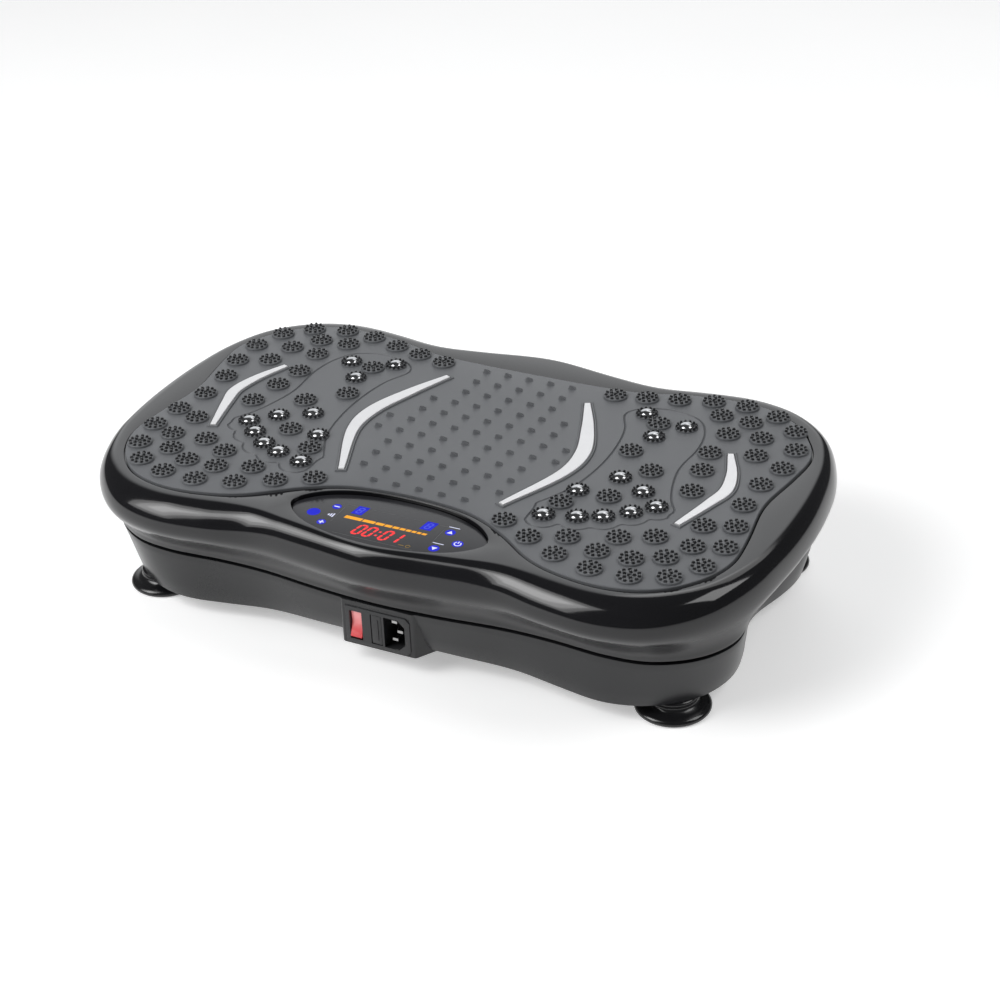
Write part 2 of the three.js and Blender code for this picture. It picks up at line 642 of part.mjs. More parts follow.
// ---- Motor: a round can on two saddles, its shaft towards the front
const motorR = (FRAME_LOW_Z - CHASSIS_TOP_Z) / 2 - MOTOR_AIR;
const motorFront = BELT_Y + 22;
const motorBack = motorFront + MOTOR_LONG;
const saddle = (y) => block(
  [MOTOR_X - motorR, MOTOR_X + motorR], [y - 6, y + 6], [CHASSIS_TOP_Z + TOUCH_GAP, DRIVE_Z - motorR / 2],
);
piece(
  "motor_case",
  join(
    bar(motorR, MOTOR_X, DRIVE_Z, [motorFront, motorBack], 32),
    bar(motorR / 2, MOTOR_X, DRIVE_Z, [motorFront - 4, motorBack + 4], 24),
    saddle(motorFront + 18), saddle(motorBack - 18),
  ),
  painted,
);
piece("motor_shaft", bar(MOTOR_SHAFT_R, MOTOR_X, DRIVE_Z, [BELT_Y - 10, motorFront - 4 - TOUCH_GAP]), steel);

// ---- Control board on its pillars, with a transformer and a capacitor
const boardRight = chassisHalf - 6;
const boardZ = CHASSIS_TOP_Z + 6;
piece(
  "control_board",
  join(
    block([boardRight - 54, boardRight], [-36, 44], [boardZ, boardZ + 1.8]),
    block([boardRight - 48, boardRight - 20], [-30, -4], [boardZ + 1, boardZ + 24]),
    peg(9, 9, [boardRight - 14, 24], [boardZ + 1, boardZ + 26], 16),
    ...[-50, -4].flatMap((x) => [-32, 40].map((y) =>
      peg(3, 3, [boardRight + x, y], [CHASSIS_TOP_Z + TOUCH_GAP, boardZ + 1], 8),
    )),
  ),
  circuit,
);

// ---- Mains inlet: one housing with a well for the key, a bay for the fuse drawer and a three-pin socket
function socketOutline() {
  const x0 = SOCKET_X - SOCKET_WIDE / 2;
  const x1 = SOCKET_X + SOCKET_WIDE / 2;
  const z0 = INLET_Z - SOCKET_TALL / 2;
  const z1 = INLET_Z + SOCKET_TALL / 2;
  const c = SOCKET_CHAMFER;
  return [[x0, z0], [x1 - c, z0], [x1, z0 + c], [x1, z1 - c], [x1 - c, z1], [x0, z1]];
}

function socketHollow() {
  const shape = new THREE.Shape(socketOutline().map(([x, z]) => new THREE.Vector2(x, z)));
  const geometry = new THREE.ExtrudeGeometry(shape, { depth: SOCKET_DEEP + 1, bevelEnabled: false });
  return solidOf(geometry.rotateX(Math.PI / 2).translate(0, panelY + SOCKET_DEEP, 0));
}

function inletHole(x, wide, tall, deep) {
  const half = wide / 2 + TOUCH_GAP;
  const rise = tall / 2 + TOUCH_GAP;
  const depth = [panelY - 1, panelY + deep + TOUCH_GAP];
  return block([x - half, x + half], depth, [INLET_Z - rise, INLET_Z + rise]);
}
piece(
  "inlet_housing",
  cut(
    inletBlock(0, [panelY, panelY + INLET_DEEP]),
    inletHole(KEY_X, KEY_WIDE, KEY_TALL, KEY_DEEP),
    inletHole(DRAWER_X, DRAWER_WIDE, DRAWER_TALL, DRAWER_DEEP),
    socketHollow(),
  ),
  satinBlack,
);
const socketBack = panelY + SOCKET_DEEP - TOUCH_GAP;
[["line", -2, 7], ["neutral", -2, -7], ["earth", 2, 0]].forEach(([word, dx, dz]) => {
  const x = SOCKET_X + dx;
  const z = INLET_Z + dz;
  piece(
    `inlet_pin_${word}`,
    block(
      [x - PIN_WIDE / 2, x + PIN_WIDE / 2], [socketBack - PIN_LONG, socketBack],
      [z - PIN_THICK / 2, z + PIN_THICK / 2],
    ),
    chrome,
  );
});

// The key rocks about a crosswise pin at the middle of its well. Its face is a shallow V.
const keyPivot = new THREE.Group();
keyPivot.position.set(KEY_X, panelY + 3, INLET_Z);
keyPivot.rotation.x = THREE.MathUtils.degToRad(-KEY_TILT);
part.add(keyPivot);
const keyFace = KEY_TALL / 2 - 1;
const keyShape = new THREE.Shape([
  new THREE.Vector2(-3.2, -keyFace), new THREE.Vector2(-1.2, 0), new THREE.Vector2(-3.2, keyFace),
  new THREE.Vector2(1.5, keyFace - 0.6), new THREE.Vector2(5.5, 3.2), new THREE.Vector2(5.5, -3.2),
  new THREE.Vector2(1.5, -keyFace + 0.6),
]);
piece(
  "rocker_key",
  new THREE.ExtrudeGeometry(keyShape, { depth: KEY_WIDE, bevelEnabled: false })
    .translate(0, 0, -KEY_WIDE / 2)
    .applyMatrix4(new THREE.Matrix4().makeBasis(
      new THREE.Vector3(0, 1, 0), new THREE.Vector3(0, 0, 1), new THREE.Vector3(1, 0, 0),
    )),
  redKey,
  keyPivot,
);

function fuseDrawer() {
  const half = DRAWER_WIDE / 2;
  const rise = DRAWER_TALL / 2;
  const front = panelY + 0.2;
  const back = front + DRAWER_DEEP - 0.4;
  const wall = DRAWER_WALL;
  const tray = block([DRAWER_X - half, DRAWER_X + half], [front, back], [INLET_Z - rise, INLET_Z + rise]);
  const bay = block(
    [DRAWER_X - half + wall, DRAWER_X + half + 1], [front + DRAWER_FRONT, back - wall],
    [INLET_Z - rise + wall, INLET_Z + rise - wall],
  );
  return cut(tray, bay);
}
piece("fuse_drawer", fuseDrawer(), satinBlack);

export default part;
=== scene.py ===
import math
import bmesh
import bpy
import numpy as np
from mathutils import Matrix, Vector


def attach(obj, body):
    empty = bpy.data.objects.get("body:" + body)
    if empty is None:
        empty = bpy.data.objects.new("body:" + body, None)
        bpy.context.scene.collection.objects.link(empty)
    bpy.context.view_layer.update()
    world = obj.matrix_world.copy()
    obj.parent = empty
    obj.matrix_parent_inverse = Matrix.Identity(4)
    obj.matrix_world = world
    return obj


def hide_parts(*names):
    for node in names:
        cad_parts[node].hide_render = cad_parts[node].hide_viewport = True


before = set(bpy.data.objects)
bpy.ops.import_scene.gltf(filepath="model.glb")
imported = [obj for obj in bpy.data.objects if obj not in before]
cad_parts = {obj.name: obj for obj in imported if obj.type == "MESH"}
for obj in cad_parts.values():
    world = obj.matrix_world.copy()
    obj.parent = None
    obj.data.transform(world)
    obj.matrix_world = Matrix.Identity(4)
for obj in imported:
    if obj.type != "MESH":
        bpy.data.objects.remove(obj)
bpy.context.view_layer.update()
scene = bpy.context.scene
mm = 0.001


# ---------------------------------------------------------------- studio
# A pale floor under a large soft box at the front left, a smaller one high on the right and one at the rear.
# The gloss reflects a dark room with one bright patch behind, and the camera sees a plain white backdrop.
def add(tree, kind, inputs=None, **settings):
    """A new node with its settings; an input is a value or the socket that feeds it."""
    made = tree.nodes.new(kind)
    for key, value in settings.items():
        setattr(made, key, value)
    for key, value in (inputs or {}).items():
        if isinstance(value, bpy.types.NodeSocket):
            tree.links.new(value, made.inputs[key])
        else:
            made.inputs[key].default_value = value
    return made


def direction(azimuth, elevation):
    """The way out from the plate: azimuth 0 is to the front, 90 to the right."""
    a, e = math.radians(azimuth), math.radians(elevation)
    return Vector((math.sin(a) * math.cos(e), -math.cos(a) * math.cos(e), math.sin(e)))


def soft_box(name, azimuth, elevation, distance, width, height, brightness):
    lamp = bpy.data.lights.new(name, "AREA")
    lamp.shape = "RECTANGLE"
    lamp.size, lamp.size_y = width, height
    lamp.energy = brightness * width * height * math.pi
    holder = bpy.data.objects.new(name, lamp)
    scene.collection.objects.link(holder)
    out = direction(azimuth, elevation)
    holder.location = out * distance + Vector((0, 0, 0.08))
    holder.rotation_euler = out.to_track_quat("Z", "Y").to_euler()
    holder.visible_camera = False


soft_box("front_box", -44, 40, 2.2, 1.5, 1.9, 2.6)
soft_box("front_box_middle", -44, 40, 2.15, 1.0, 1.3, 3.0)
soft_box("front_box_core", -44, 42, 2.1, 0.5, 0.7, 3.0)
soft_box("right_box", 104, 46, 2.2, 1.0, 1.1, 4.0)
soft_box("rear_box", 175, 48, 2.4, 1.6, 0.7, 1.6)

room = bpy.data.worlds.new("room")
room.use_nodes = True
room.node_tree.nodes.clear()
sky = room.node_tree
way = add(sky, "ShaderNodeTexCoord").outputs["Generated"]
behind = add(sky, "ShaderNodeVectorMath", {0: way, 1: direction(-150, 21)}, operation="DOT_PRODUCT")
glow = add(sky, "ShaderNodeMapRange", {
    "Value": behind.outputs["Value"], "From Min": 0.86, "From Max": 0.955, "To Min": 0.1, "To Max": 1.5,
}, interpolation_type="SMOOTHSTEP")
seen = add(sky, "ShaderNodeLightPath").outputs["Is Camera Ray"]
plain = add(sky, "ShaderNodeMath", {0: glow.outputs["Result"], 1: seen}, operation="MAXIMUM")
lit = add(sky, "ShaderNodeBackground", {"Color": (0.97, 0.985, 1, 1), "Strength": plain.outputs["Value"]})
add(sky, "ShaderNodeOutputWorld", {"Surface": lit.outputs["Background"]})
scene.world = room
scene.view_settings.view_transform = "Standard"

floor_paint = bpy.data.materials.new("floor_paint")
floor_paint.use_nodes = True
floor_nodes = floor_paint.node_tree
mottle = add(floor_nodes, "ShaderNodeTexNoise", {
    "Vector": add(floor_nodes, "ShaderNodeTexCoord").outputs["Object"], "Scale": 3.0,
})
floor_tone = add(floor_nodes, "ShaderNodeValToRGB", {"Fac": mottle.outputs["Fac"]})
floor_tone.color_ramp.elements[0].color = (0.9, 0.9, 0.9, 1)
floor_tone.color_ramp.elements[1].color = (0.94, 0.94, 0.94, 1)
floor_shader = floor_nodes.nodes["Principled BSDF"]
floor_nodes.links.new(floor_tone.outputs["Color"], floor_shader.inputs["Base Color"])
floor_nodes.links.new(floor_tone.outputs["Color"], floor_shader.inputs["Emission Color"])
floor_shader.inputs["Emission Strength"].default_value = 0.42
floor_shader.inputs["Roughness"].default_value = 0.7
floor_shader.inputs["Specular IOR Level"].default_value = 0.1
ground = bmesh.new()
bmesh.ops.create_circle(ground, cap_ends=True, segments=96, radius=9)
floor_mesh = bpy.data.meshes.new("floor")
ground.to_mesh(floor_mesh)
ground.free()
floor_mesh.materials.append(floor_paint)
floor = bpy.data.objects.new("floor", floor_mesh)
scene.collection.objects.link(floor)

CAMERA_PLACE = (0.64126, -1.18940, 0.85198)
CAMERA_AZIMUTH, CAMERA_DOWN, CAMERA_ROLL = 27.2993, 30.4150, -2.3742  # in degrees
camera = bpy.data.objects.new("camera", bpy.data.cameras.new("camera"))
camera.data.lens = 78.40
camera.data.sensor_width = 36
camera.data.clip_end = 60
camera.matrix_world = (
    Matrix.Translation(CAMERA_PLACE)
    @ Matrix.Rotation(math.radians(CAMERA_AZIMUTH), 4, "Z")
    @ Matrix.Rotation(math.radians(90 - CAMERA_DOWN), 4, "X")
    @ Matrix.Rotation(math.radians(CAMERA_ROLL), 4, "Z")
)
scene.collection.objects.link(camera)
scene.camera = camera


# ---------------------------------------------------------------- deck shell
# A waisted footplate moulded in gloss black plastic, 3 mm thick: a flat rim round two recesses, a rolled
# edge and a skirt that tucks in to a small rounded lip. It is screwed to the swing frame under it.
RIM = [
    (246, 0), (244.5, 40), (239, 76), (224, 110), (196, 132), (165, 140), (130, 137), (92, 131.5), (50, 137),
    (0, 145.5),
]
BELLY = [
    (260, 0), (257.5, 42), (250.5, 80), (233.5, 117), (203, 145), (167, 155), (127, 151.5), (91, 144.5),
    (51, 148.5), (0, 155),
]
SEAM = [
    (225, 0), (233, 42), (240, 78), (227, 107), (198, 127), (165, 131.5), (130, 129), (92, 129), (50, 133.5),
    (0, 136.5),
]
MAT = [
    (0, 117), (60, 118), (90, 121), (118, 130), (165, 134.5), (196, 126), (219, 104), (233, 77), (231, 42),
    (225, 2), (230, -40), (231, -76), (218, -104), (196, -124), (165, -132), (130, -128), (106, -119),
    (84, -103), (64, -90.5), (42, -82), (0, -78),
]
LENS = [(0, -81), (36, -84.5), (62, -96), (74, -112), (61, -128), (35, -138.5), (0, -142.5)]
RIM_Z, BELLY_Z, SEAM_Z = 104.5, 86.0, 53.0
DECK_WALL, DECK_UNDER_Z = 3.0, 98.0
MAT_FLOOR_Z, LENS_FLOOR_Z = 102.5, 100.1
RECESS_AIR = 0.3
LOBE_DRAW = 4.5  # how far the rim of the front lobes is drawn in
FRONT_FROM_Y, FRONT_FADE = 60, 60
LOBE_FROM_X, LOBE_FADE = 70, 50


def curve_point(p, t, now):
    """The place at time now on the curve through four corners that are passed at the times t."""
    a = [((t[j + 1] - now) * p[j] + (now - t[j]) * p[j + 1]) / (t[j + 1] - t[j]) for j in range(3)]
    b = [((t[j + 2] - now) * a[j] + (now - t[j]) * a[j + 1]) / (t[j + 2] - t[j]) for j in range(2)]
    return ((t[2] - now) * b[0] + (now - t[1]) * b[1]) / (t[2] - t[1])


def passing_times(p):
    return np.cumsum([0] + [np.linalg.norm(b - a) ** 0.5 for a, b in zip(p, p[1:])])


def closed_curve(corners, steps, softening=10):
    """A smooth closed outline through the corners, anticlockwise, in millimetres."""
    corners = np.array(corners, float)
    points = []
    for i in range(len(corners)):
        p = [corners[(i + k) % len(corners)] for k in (-1, 0, 1, 2)]
        t = passing_times(p)
        points += [curve_point(p, t, t[1] + (t[2] - t[1]) * k / steps) for k in range(steps)]
    points = np.array(points)
    for _ in range(softening):
        points = (np.roll(points, 1, 0) + 2 * points + np.roll(points, -1, 0)) / 4
    return points


def from_quarter(quarter):
    back = quarter + [(-x, y) for x, y in quarter[-2::-1]]
    return closed_curve(back + [(x, -y) for x, y in back[-2:0:-1]], 12)


def from_half(half, steps=12):
    left = [(-x, y) for x, y in half[1:-1]]
    return closed_curve([half[0]] + left + half[:0:-1], steps)


def inset(outline, distance):
    """The outline moved inwards, or outwards if the distance is negative."""
    along = np.roll(outline, -1, 0) - np.roll(outline, 1, 0)
    along /= np.linalg.norm(along, axis=1, keepdims=True)
    return outline + np.stack([-along[:, 1], along[:, 0]], 1) * distance


def ring(bm, outline, z):
    """A closed loop of edges at level z, or at one level for each point."""
    levels = np.broadcast_to(z, len(outline))
    verts = [bm.verts.new((x * mm, y * mm, h * mm)) for (x, y), h in zip(outline, levels)]
    return [bm.edges.new((verts[i - 1], verts[i])) for i in range(len(verts))]


def skin(bm, rings):
    for low, high in zip(rings, rings[1:]):
        bmesh.ops.bridge_loops(bm, edges=low + high)


def fill(bm, *loops):
    """A flat face inside the first loop, with the other loops as holes."""
    bmesh.ops.triangle_fill(bm, use_beauty=True, edges=sum(loops, []), normal=(0, 0, 1))


def rounded(outline, flat_z, radius, out=1, steps=4):
    """Rings of a quarter-round edge, from the flat down its side: out is 1 at a hole and -1 at a rim."""
    turns = [math.pi / 2 * k / steps for k in range(steps + 1)]
    return [
        (inset(outline, -out * radius * (1 - math.sin(a))), flat_z - radius * (1 - math.cos(a)))
        for a in turns
    ]


def made(bm, name, material, smooth=35):
    """The finished piece: doubles merged, faces out, smooth but for edges sharper than the angle."""
    bmesh.ops.remove_doubles(bm, verts=bm.verts, dist=2e-6)
    bmesh.ops.recalc_face_normals(bm, faces=bm.faces)
    mesh = bpy.data.meshes.new(name)
    bm.to_mesh(mesh)
    bm.free()
    mesh.shade_smooth()
    mesh.set_sharp_from_angle(angle=math.radians(smooth))
    mesh.materials.append(material)
    piece = bpy.data.objects.new(name, mesh)
    scene.collection.objects.link(piece)
    return piece


def grain_group():
    """Fine grain and broad patches, both from 0 to 1, fixed to the piece."""
    group = bpy.data.node_groups.new("grain_and_patches", "ShaderNodeTree")
    for name, start in (("Grain Scale", 900.0), ("Patch Scale", 14.0), ("Stretch", 1.0)):
        group.interface.new_socket(name, in_out="INPUT", socket_type="NodeSocketFloat").default_value = start
    for name in ("Grain", "Patches"):
        group.interface.new_socket(name, in_out="OUTPUT", socket_type="NodeSocketFloat")
    given = add(group, "NodeGroupInput").outputs
    place = add(group, "ShaderNodeTexCoord").outputs["Object"]
    pull = add(group, "ShaderNodeCombineXYZ", {"X": given["Stretch"], "Y": 1.0, "Z": 1.0})
    pulled = add(group, "ShaderNodeVectorMath", {0: place, 1: pull.outputs["Vector"]}, operation="MULTIPLY")
    grain = add(group, "ShaderNodeTexNoise", {
        "Vector": pulled.outputs["Vector"], "Scale": given["Grain Scale"], "Detail": 3.0, "Roughness": 0.6,
    })
    patches = add(group, "ShaderNodeTexNoise", {
        "Vector": place, "Scale": given["Patch Scale"], "Detail": 4.0, "Roughness": 0.55,
    })
    clear = add(group, "ShaderNodeMapRange", {
        "Value": patches.outputs["Fac"], "From Min": 0.3, "From Max": 0.7,
    })
    add(group, "NodeGroupOutput", {"Grain": grain.outputs["Fac"], "Patches": clear.outputs["Result"]})
    return group


grain_and_patches = grain_group()


def finish(name, dark, light, rough, relief=0.0, grain=900.0, patch=14.0, stretch=1.0, **sockets):
    """A material whose colour and roughness drift between two values, with a fine grain raised by relief mm.
    Further values are set on the shader's own sockets."""
    material = bpy.data.materials.new(name)
    material.use_nodes = True
    tree = material.node_tree
    shader = tree.nodes["Principled BSDF"]
    for key, value in sockets.items():
        shader.inputs[key.replace("_", " ")].default_value = value
    marks = add(tree, "ShaderNodeGroup", node_tree=grain_and_patches)
    marks.inputs["Grain Scale"].default_value = grain
    marks.inputs["Patch Scale"].default_value = patch
    marks.inputs["Stretch"].default_value = stretch
    tone = add(tree, "ShaderNodeValToRGB", {"Fac": marks.outputs["Patches"]})
    tone.color_ramp.elements[0].color = (*dark, 1)
    tone.color_ramp.elements[1].color = (*light, 1)
    tree.links.new(tone.outputs["Color"], shader.inputs["Base Color"])
    both = add(tree, "ShaderNodeMath", {
        0: marks.outputs["Grain"], 1: marks.outputs["Patches"],
    }, operation="MULTIPLY")
    drift = add(tree, "ShaderNodeMapRange", {
        "Value": both.outputs["Value"], "From Max": 0.6, "To Min": rough[0], "To Max": rough[1],
    })
    tree.links.new(drift.outputs["Result"], shader.inputs["Roughness"])
    if relief:
        bump = add(tree, "ShaderNodeBump", {
            "Height": marks.outputs["Grain"], "Strength": 1.0, "Distance": relief * mm,
        })
        tree.links.new(bump.outputs["Normal"], shader.inputs["Normal"])
    return material


gloss_black = finish("gloss_black", (0.006, 0.006, 0.007), (0.009, 0.009, 0.0105), (0.07, 0.13), patch=9.0,
                     IOR=1.5)

# The roll is polished and the skirt below it is satin.
gloss_nodes = gloss_black.node_tree
gloss_shader = gloss_nodes.nodes["Principled BSDF"]
gloss_place = add(gloss_nodes, "ShaderNodeSeparateXYZ", {
    "Vector": add(gloss_nodes, "ShaderNodeTexCoord").outputs["Object"],
})
satin = add(gloss_nodes, "ShaderNodeMapRange", {
    "Value": gloss_place.outputs["Z"], "From Min": 0.068, "From Max": 0.084, "To Min": 0.24, "To Max": 0.0,
}, interpolation_type="SMOOTHSTEP")
polish = gloss_shader.inputs["Roughness"].links[0].from_socket
rougher = add(gloss_nodes, "ShaderNodeMath", {0: polish, 1: satin.outputs["Result"]}, operation="ADD")
gloss_nodes.links.new(rougher.outputs["Value"], gloss_shader.inputs["Roughness"])

plain_rim, belly, seam = (from_quarter(q) for q in (RIM, BELLY, SEAM))
mat_edge, lens_edge = from_half(MAT), from_half(LENS, 16)
at_front = np.clip((-plain_rim[:, 1] - FRONT_FROM_Y) / FRONT_FADE, 0, 1)
at_lobe = np.clip((np.abs(plain_rim[:, 0]) - LOBE_FROM_X) / LOBE_FADE, 0, 1)
rim = inset(plain_rim, (LOBE_DRAW * at_front * at_lobe)[:, None])


def deck_wall(z, wall=0.0):
    """The deck's wall at a level, moved inwards by its thickness."""
    if z <= BELLY_Z:
        climb = (1 - math.cos(math.pi * (z - SEAM_Z) / (BELLY_Z - SEAM_Z))) / 2
        return inset(seam + (belly - seam) * climb, wall)
    rise = min((z - BELLY_Z) / (RIM_Z - BELLY_Z), 1)
    return inset(rim + (belly - rim) * math.sqrt(1 - rise * rise), wall)


shell = bmesh.new()
roll_z = [BELLY_Z + (RIM_Z - BELLY_Z) * math.sin(math.pi / 2 * k / 16) for k in range(17)]
inner_z = [DECK_UNDER_Z, 94, 90] + list(np.linspace(BELLY_Z, SEAM_Z + 0.6, 9))
outer_z = list(np.linspace(SEAM_Z + 1, BELLY_Z, 14)) + roll_z[1:]
deck_levels = [(deck_wall(z, DECK_WALL), z) for z in inner_z]
deck_levels += [(inset(seam, w), SEAM_Z + h) for w, h in ((2.4, 0), (1.0, 0), (0.3, 0.3))]
deck_levels += [(deck_wall(z), z) for z in outer_z]
deck_rings = [ring(shell, outline, z) for outline, z in deck_levels]
skin(shell, deck_rings)
mat_hole_edge, lens_hole_edge = (inset(edge, -RECESS_AIR) for edge in (mat_edge, lens_edge))
mat_hole = [
    ring(shell, outline, z)
    for outline, z in rounded(mat_hole_edge, RIM_Z, 0.7) + [(mat_hole_edge, MAT_FLOOR_Z)]
]
lens_hole = [
    ring(shell, outline, z)
    for outline, z in rounded(lens_hole_edge, RIM_Z, 0.6) + [(lens_hole_edge, LENS_FLOOR_Z)]
]
skin(shell, mat_hole)
skin(shell, lens_hole)
fill(shell, deck_rings[-1], mat_hole[0], lens_hole[0])
fill(shell, mat_hole[-1])
fill(shell, lens_hole[-1])
fill(shell, deck_rings[0])
deck_moulding = made(shell, "deck_moulding", gloss_black, 40)
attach(deck_moulding, "deck")
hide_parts("deck_shell")


# ---------------------------------------------------------------- massage mat
# One sheet of slate grey rubber that lies in the deck's recess. Grooves mark out the two zones, and raised
# frames hold the bright strips.
MAT_LOW_Z, MAT_TOP_Z = 102.8, 106.0
MAT_AIR = 0.6  # from the outline to the sheet's edge
GROOVE = 0.9  # half its width, and its depth
ZONE_STUDS = [(94, -67), (116, -61), (132, -54), (147, -42), (160, -29)]
SCALLOP_R, SCALLOP_SHIFT = 12.4, (1.5, -3.2)
SCALLOP_START, SCALLOP_END = -172, -25  # in degrees
ZONE_REST = [
    (174, -33), (166, -18), (158, 5), (154, 28), (156, 55), (152, 80), (141, 97), (120, 103), (107, 101),
    (95, 96), (88, 85), (97, 65), (102, 35), (102, 5), (97, -25), (88, -45), (82, -58),
]
STRIPS = {
    "inner": ([(57, 88), (72, 55), (84, 20), (84, -8), (62, -66)], 2.2, 5.6),
    "outer": ([(180, 57), (191, 30), (195, 8), (191, -10), (181, -45)], 2.2, 4.6),
}


def scallops(centres, radius, first, last):
    """Arcs round a row of points, anticlockwise, that meet where their circles cross."""
    points = []
    for i, (x, y) in enumerate(centres):
        start, end = first, last
        if i:
            px, py = centres[i - 1]
            start = math.atan2(py - y, px - x) + math.acos(math.dist((x, y), (px, py)) / 2 / radius)
            start -= 2 * math.pi if start > 0 else 0
        if i < len(centres) - 1:
            nx, ny = centres[i + 1]
            end = math.atan2(ny - y, nx - x) - math.acos(math.dist((x, y), (nx, ny)) / 2 / radius)
        angles = np.linspace(start, end, 16)[1:-1]
        points += [(x + radius * math.cos(a), y + radius * math.sin(a)) for a in angles]
    return points


def zone_outline(side):
    centres = [(x + SCALLOP_SHIFT[0], y + SCALLOP_SHIFT[1]) for x, y in ZONE_STUDS]
    arcs = scallops(centres, SCALLOP_R, math.radians(SCALLOP_START), math.radians(SCALLOP_END))
    rest = closed_curve(ZONE_REST, 6, 2)[: 6 * (len(ZONE_REST) - 1) + 1]
    outline = np.array(arcs + [tuple(p) for p in rest])
    outline = (np.roll(outline, 1, 0) + 2 * outline + np.roll(outline, -1, 0)) / 4
    return outline if side > 0 else (outline * (-1, 1))[::-1]


def strip_outline(line, tip, middle, side, extra=0.0):
    """A curved strip, narrow at its square ends, moved outwards by extra."""
    line = [np.array((side * x, y), float) for x, y in line]
    line = [2 * line[0] - line[1]] + line + [2 * line[-1] - line[-2]]
    centre = []
    for i in range(len(line) - 3):
        p = line[i:i + 4]
        t = passing_times(p)
        centre += [curve_point(p, t, t[1] + (t[2] - t[1]) * k / 10) for k in range(10 + (i == len(line) - 4))]
    centre = np.array(centre)
    along = np.gradient(centre, axis=0)
    along /= np.linalg.norm(along, axis=1, keepdims=True)
    share = np.linspace(0, 1, len(centre))
    half = (tip + (middle - tip) * np.sin(math.pi * share) + extra)[:, None]
    centre[0] -= along[0] * extra
    centre[-1] += along[-1] * extra
    across = np.stack([-along[:, 1], along[:, 0]], 1) * half
    return np.concatenate([centre + across, (centre - across)[::-1]])


mat_rubber = finish("mat_rubber", (0.115, 0.12, 0.128), (0.145, 0.15, 0.158), (0.42, 0.56), relief=0.035,
                    grain=1500.0, patch=11.0, Specular_IOR_Level=0.35)
sheet = bmesh.new()
sheet_edge = inset(mat_edge, MAT_AIR)
mat_rings = [ring(sheet, sheet_edge, MAT_LOW_Z)]
mat_rings += [ring(sheet, o, z) for o, z in rounded(sheet_edge, MAT_TOP_Z, 0.8, out=-1)[::-1]]
skin(sheet, mat_rings)
holes = []
for side in (1, -1):
    zone = zone_outline(side)
    groove = [
        ring(sheet, inset(zone, w), MAT_TOP_Z - d)
        for w, d in ((-GROOVE, 0), (-0.6, 0.5), (0, GROOVE), (0.6, 0.5), (GROOVE, 0))
    ]
    skin(sheet, groove)
    fill(sheet, groove[-1])
    holes.append(groove[0])
    for line, tip, middle in STRIPS.values():
        frame_rings = [
            ring(sheet, strip_outline(line, tip, middle, side, w), MAT_TOP_Z + h)
            for w, h in ((2.0, 0), (1.75, 0.7), (1.4, 0.95), (0.8, 0.9), (0.45, 0.7), (0.4, -1.5))
        ]
        skin(sheet, frame_rings)
        fill(sheet, frame_rings[-1])
        holes.append(frame_rings[0])
fill(sheet, mat_rings[-1], *holes)
fill(sheet, mat_rings[0])
mat_sheet = made(sheet, "mat_sheet", mat_rubber, 35)
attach(mat_sheet, "deck")
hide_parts("top_mat")


# ---------------------------------------------------------------- massage discs
# 82 low discs moulded on the mat, each with seventeen small blunt cones worn smooth, darkened with painted
# shade.
# The seats of the studs have a ring of such cones, and a grid of small three-armed spikes fills the middle.
NUBS = [
    (166, 127), (141, 125), (192, 120), (117, 118), (94, 112), (71, 107), (154, 107), (177, 105), (211, 104),
    (192, 86), (168, 83), (117, 79), (220, 79), (197, 61), (166, 53), (220, 51), (114, 35), (170, 28),
    (214, 25), (138, 14), (174, -1), (213, -5), (125, -29), (218, -33), (198, -40), (98, -48), (221, -60),
    (174, -65), (201, -67), (152, -75), (73, -84), (190, -86), (121, -87), (216, -87), (146, -96),
    (170, -96), (97, -97), (201, -107), (122, -110), (177, -116), (150, -117),
]
STUDS = [(103, 90), (137, 82), (121, 60), (122, -2), (144, -14), (160, -29),
         (102, -29), (147, -42), (132, -54), (116, -61), (94, -67)]
NUB_R, SEAT_R = 8.8, 8.2
ROOT_Z = 105.8  # just under the mat's face
CONE_BASE_R, CONE_TIP_R, CONE_LOW_Z = 1.4, 0.75, 107.6
CONE_RINGS = [(0, 1, 109.4), (3.55, 5, 109.4), (6.95, 11, 109.2)]  # radius, how many, level of the tips
SPIKE_PITCH, SPIKE_TALL, SPIKE_SUNK = 17.6, 3.0, 0.2
SPIKE_BASE_R, SPIKE_TIP_R = 5.2, 0.5
SPIKE_WAIST, SPIKE_TURN = 0.36, 0.5
SPIKE_COLUMNS = [(-4, 6), (-4, 6), (-4, 6), (-3, 3), (0, 1)]  # the first and last row, from the middle out


def turned(profile, segments):
    """A closed round solid from a profile of radius and level in mm that starts and ends on its axis."""
    bm = bmesh.new()
    verts = [bm.verts.new((r * mm, 0, z * mm)) for r, z in profile]
    edges = [bm.edges.new(pair) for pair in zip(verts, verts[1:])]
    bmesh.ops.spin(bm, geom=verts + edges, cent=(0, 0, 0), axis=(0, 0, 1), dvec=(0, 0, 0),
                   angle=2 * math.pi, steps=segments, use_merge=True)
    return bm


def cones(bm, ring_radius, count, base, tip, low, high):
    for k in range(count):
        spin = Matrix.Rotation(2 * math.pi * (k + 0.3) / count, 4, "Z")
        place = spin @ Matrix.Translation((ring_radius * mm, 0, (low + high) / 2 * mm))
        bmesh.ops.create_cone(bm, cap_ends=True, segments=7, radius1=base * mm, radius2=tip * mm,
                              depth=(high - low) * mm, matrix=place)


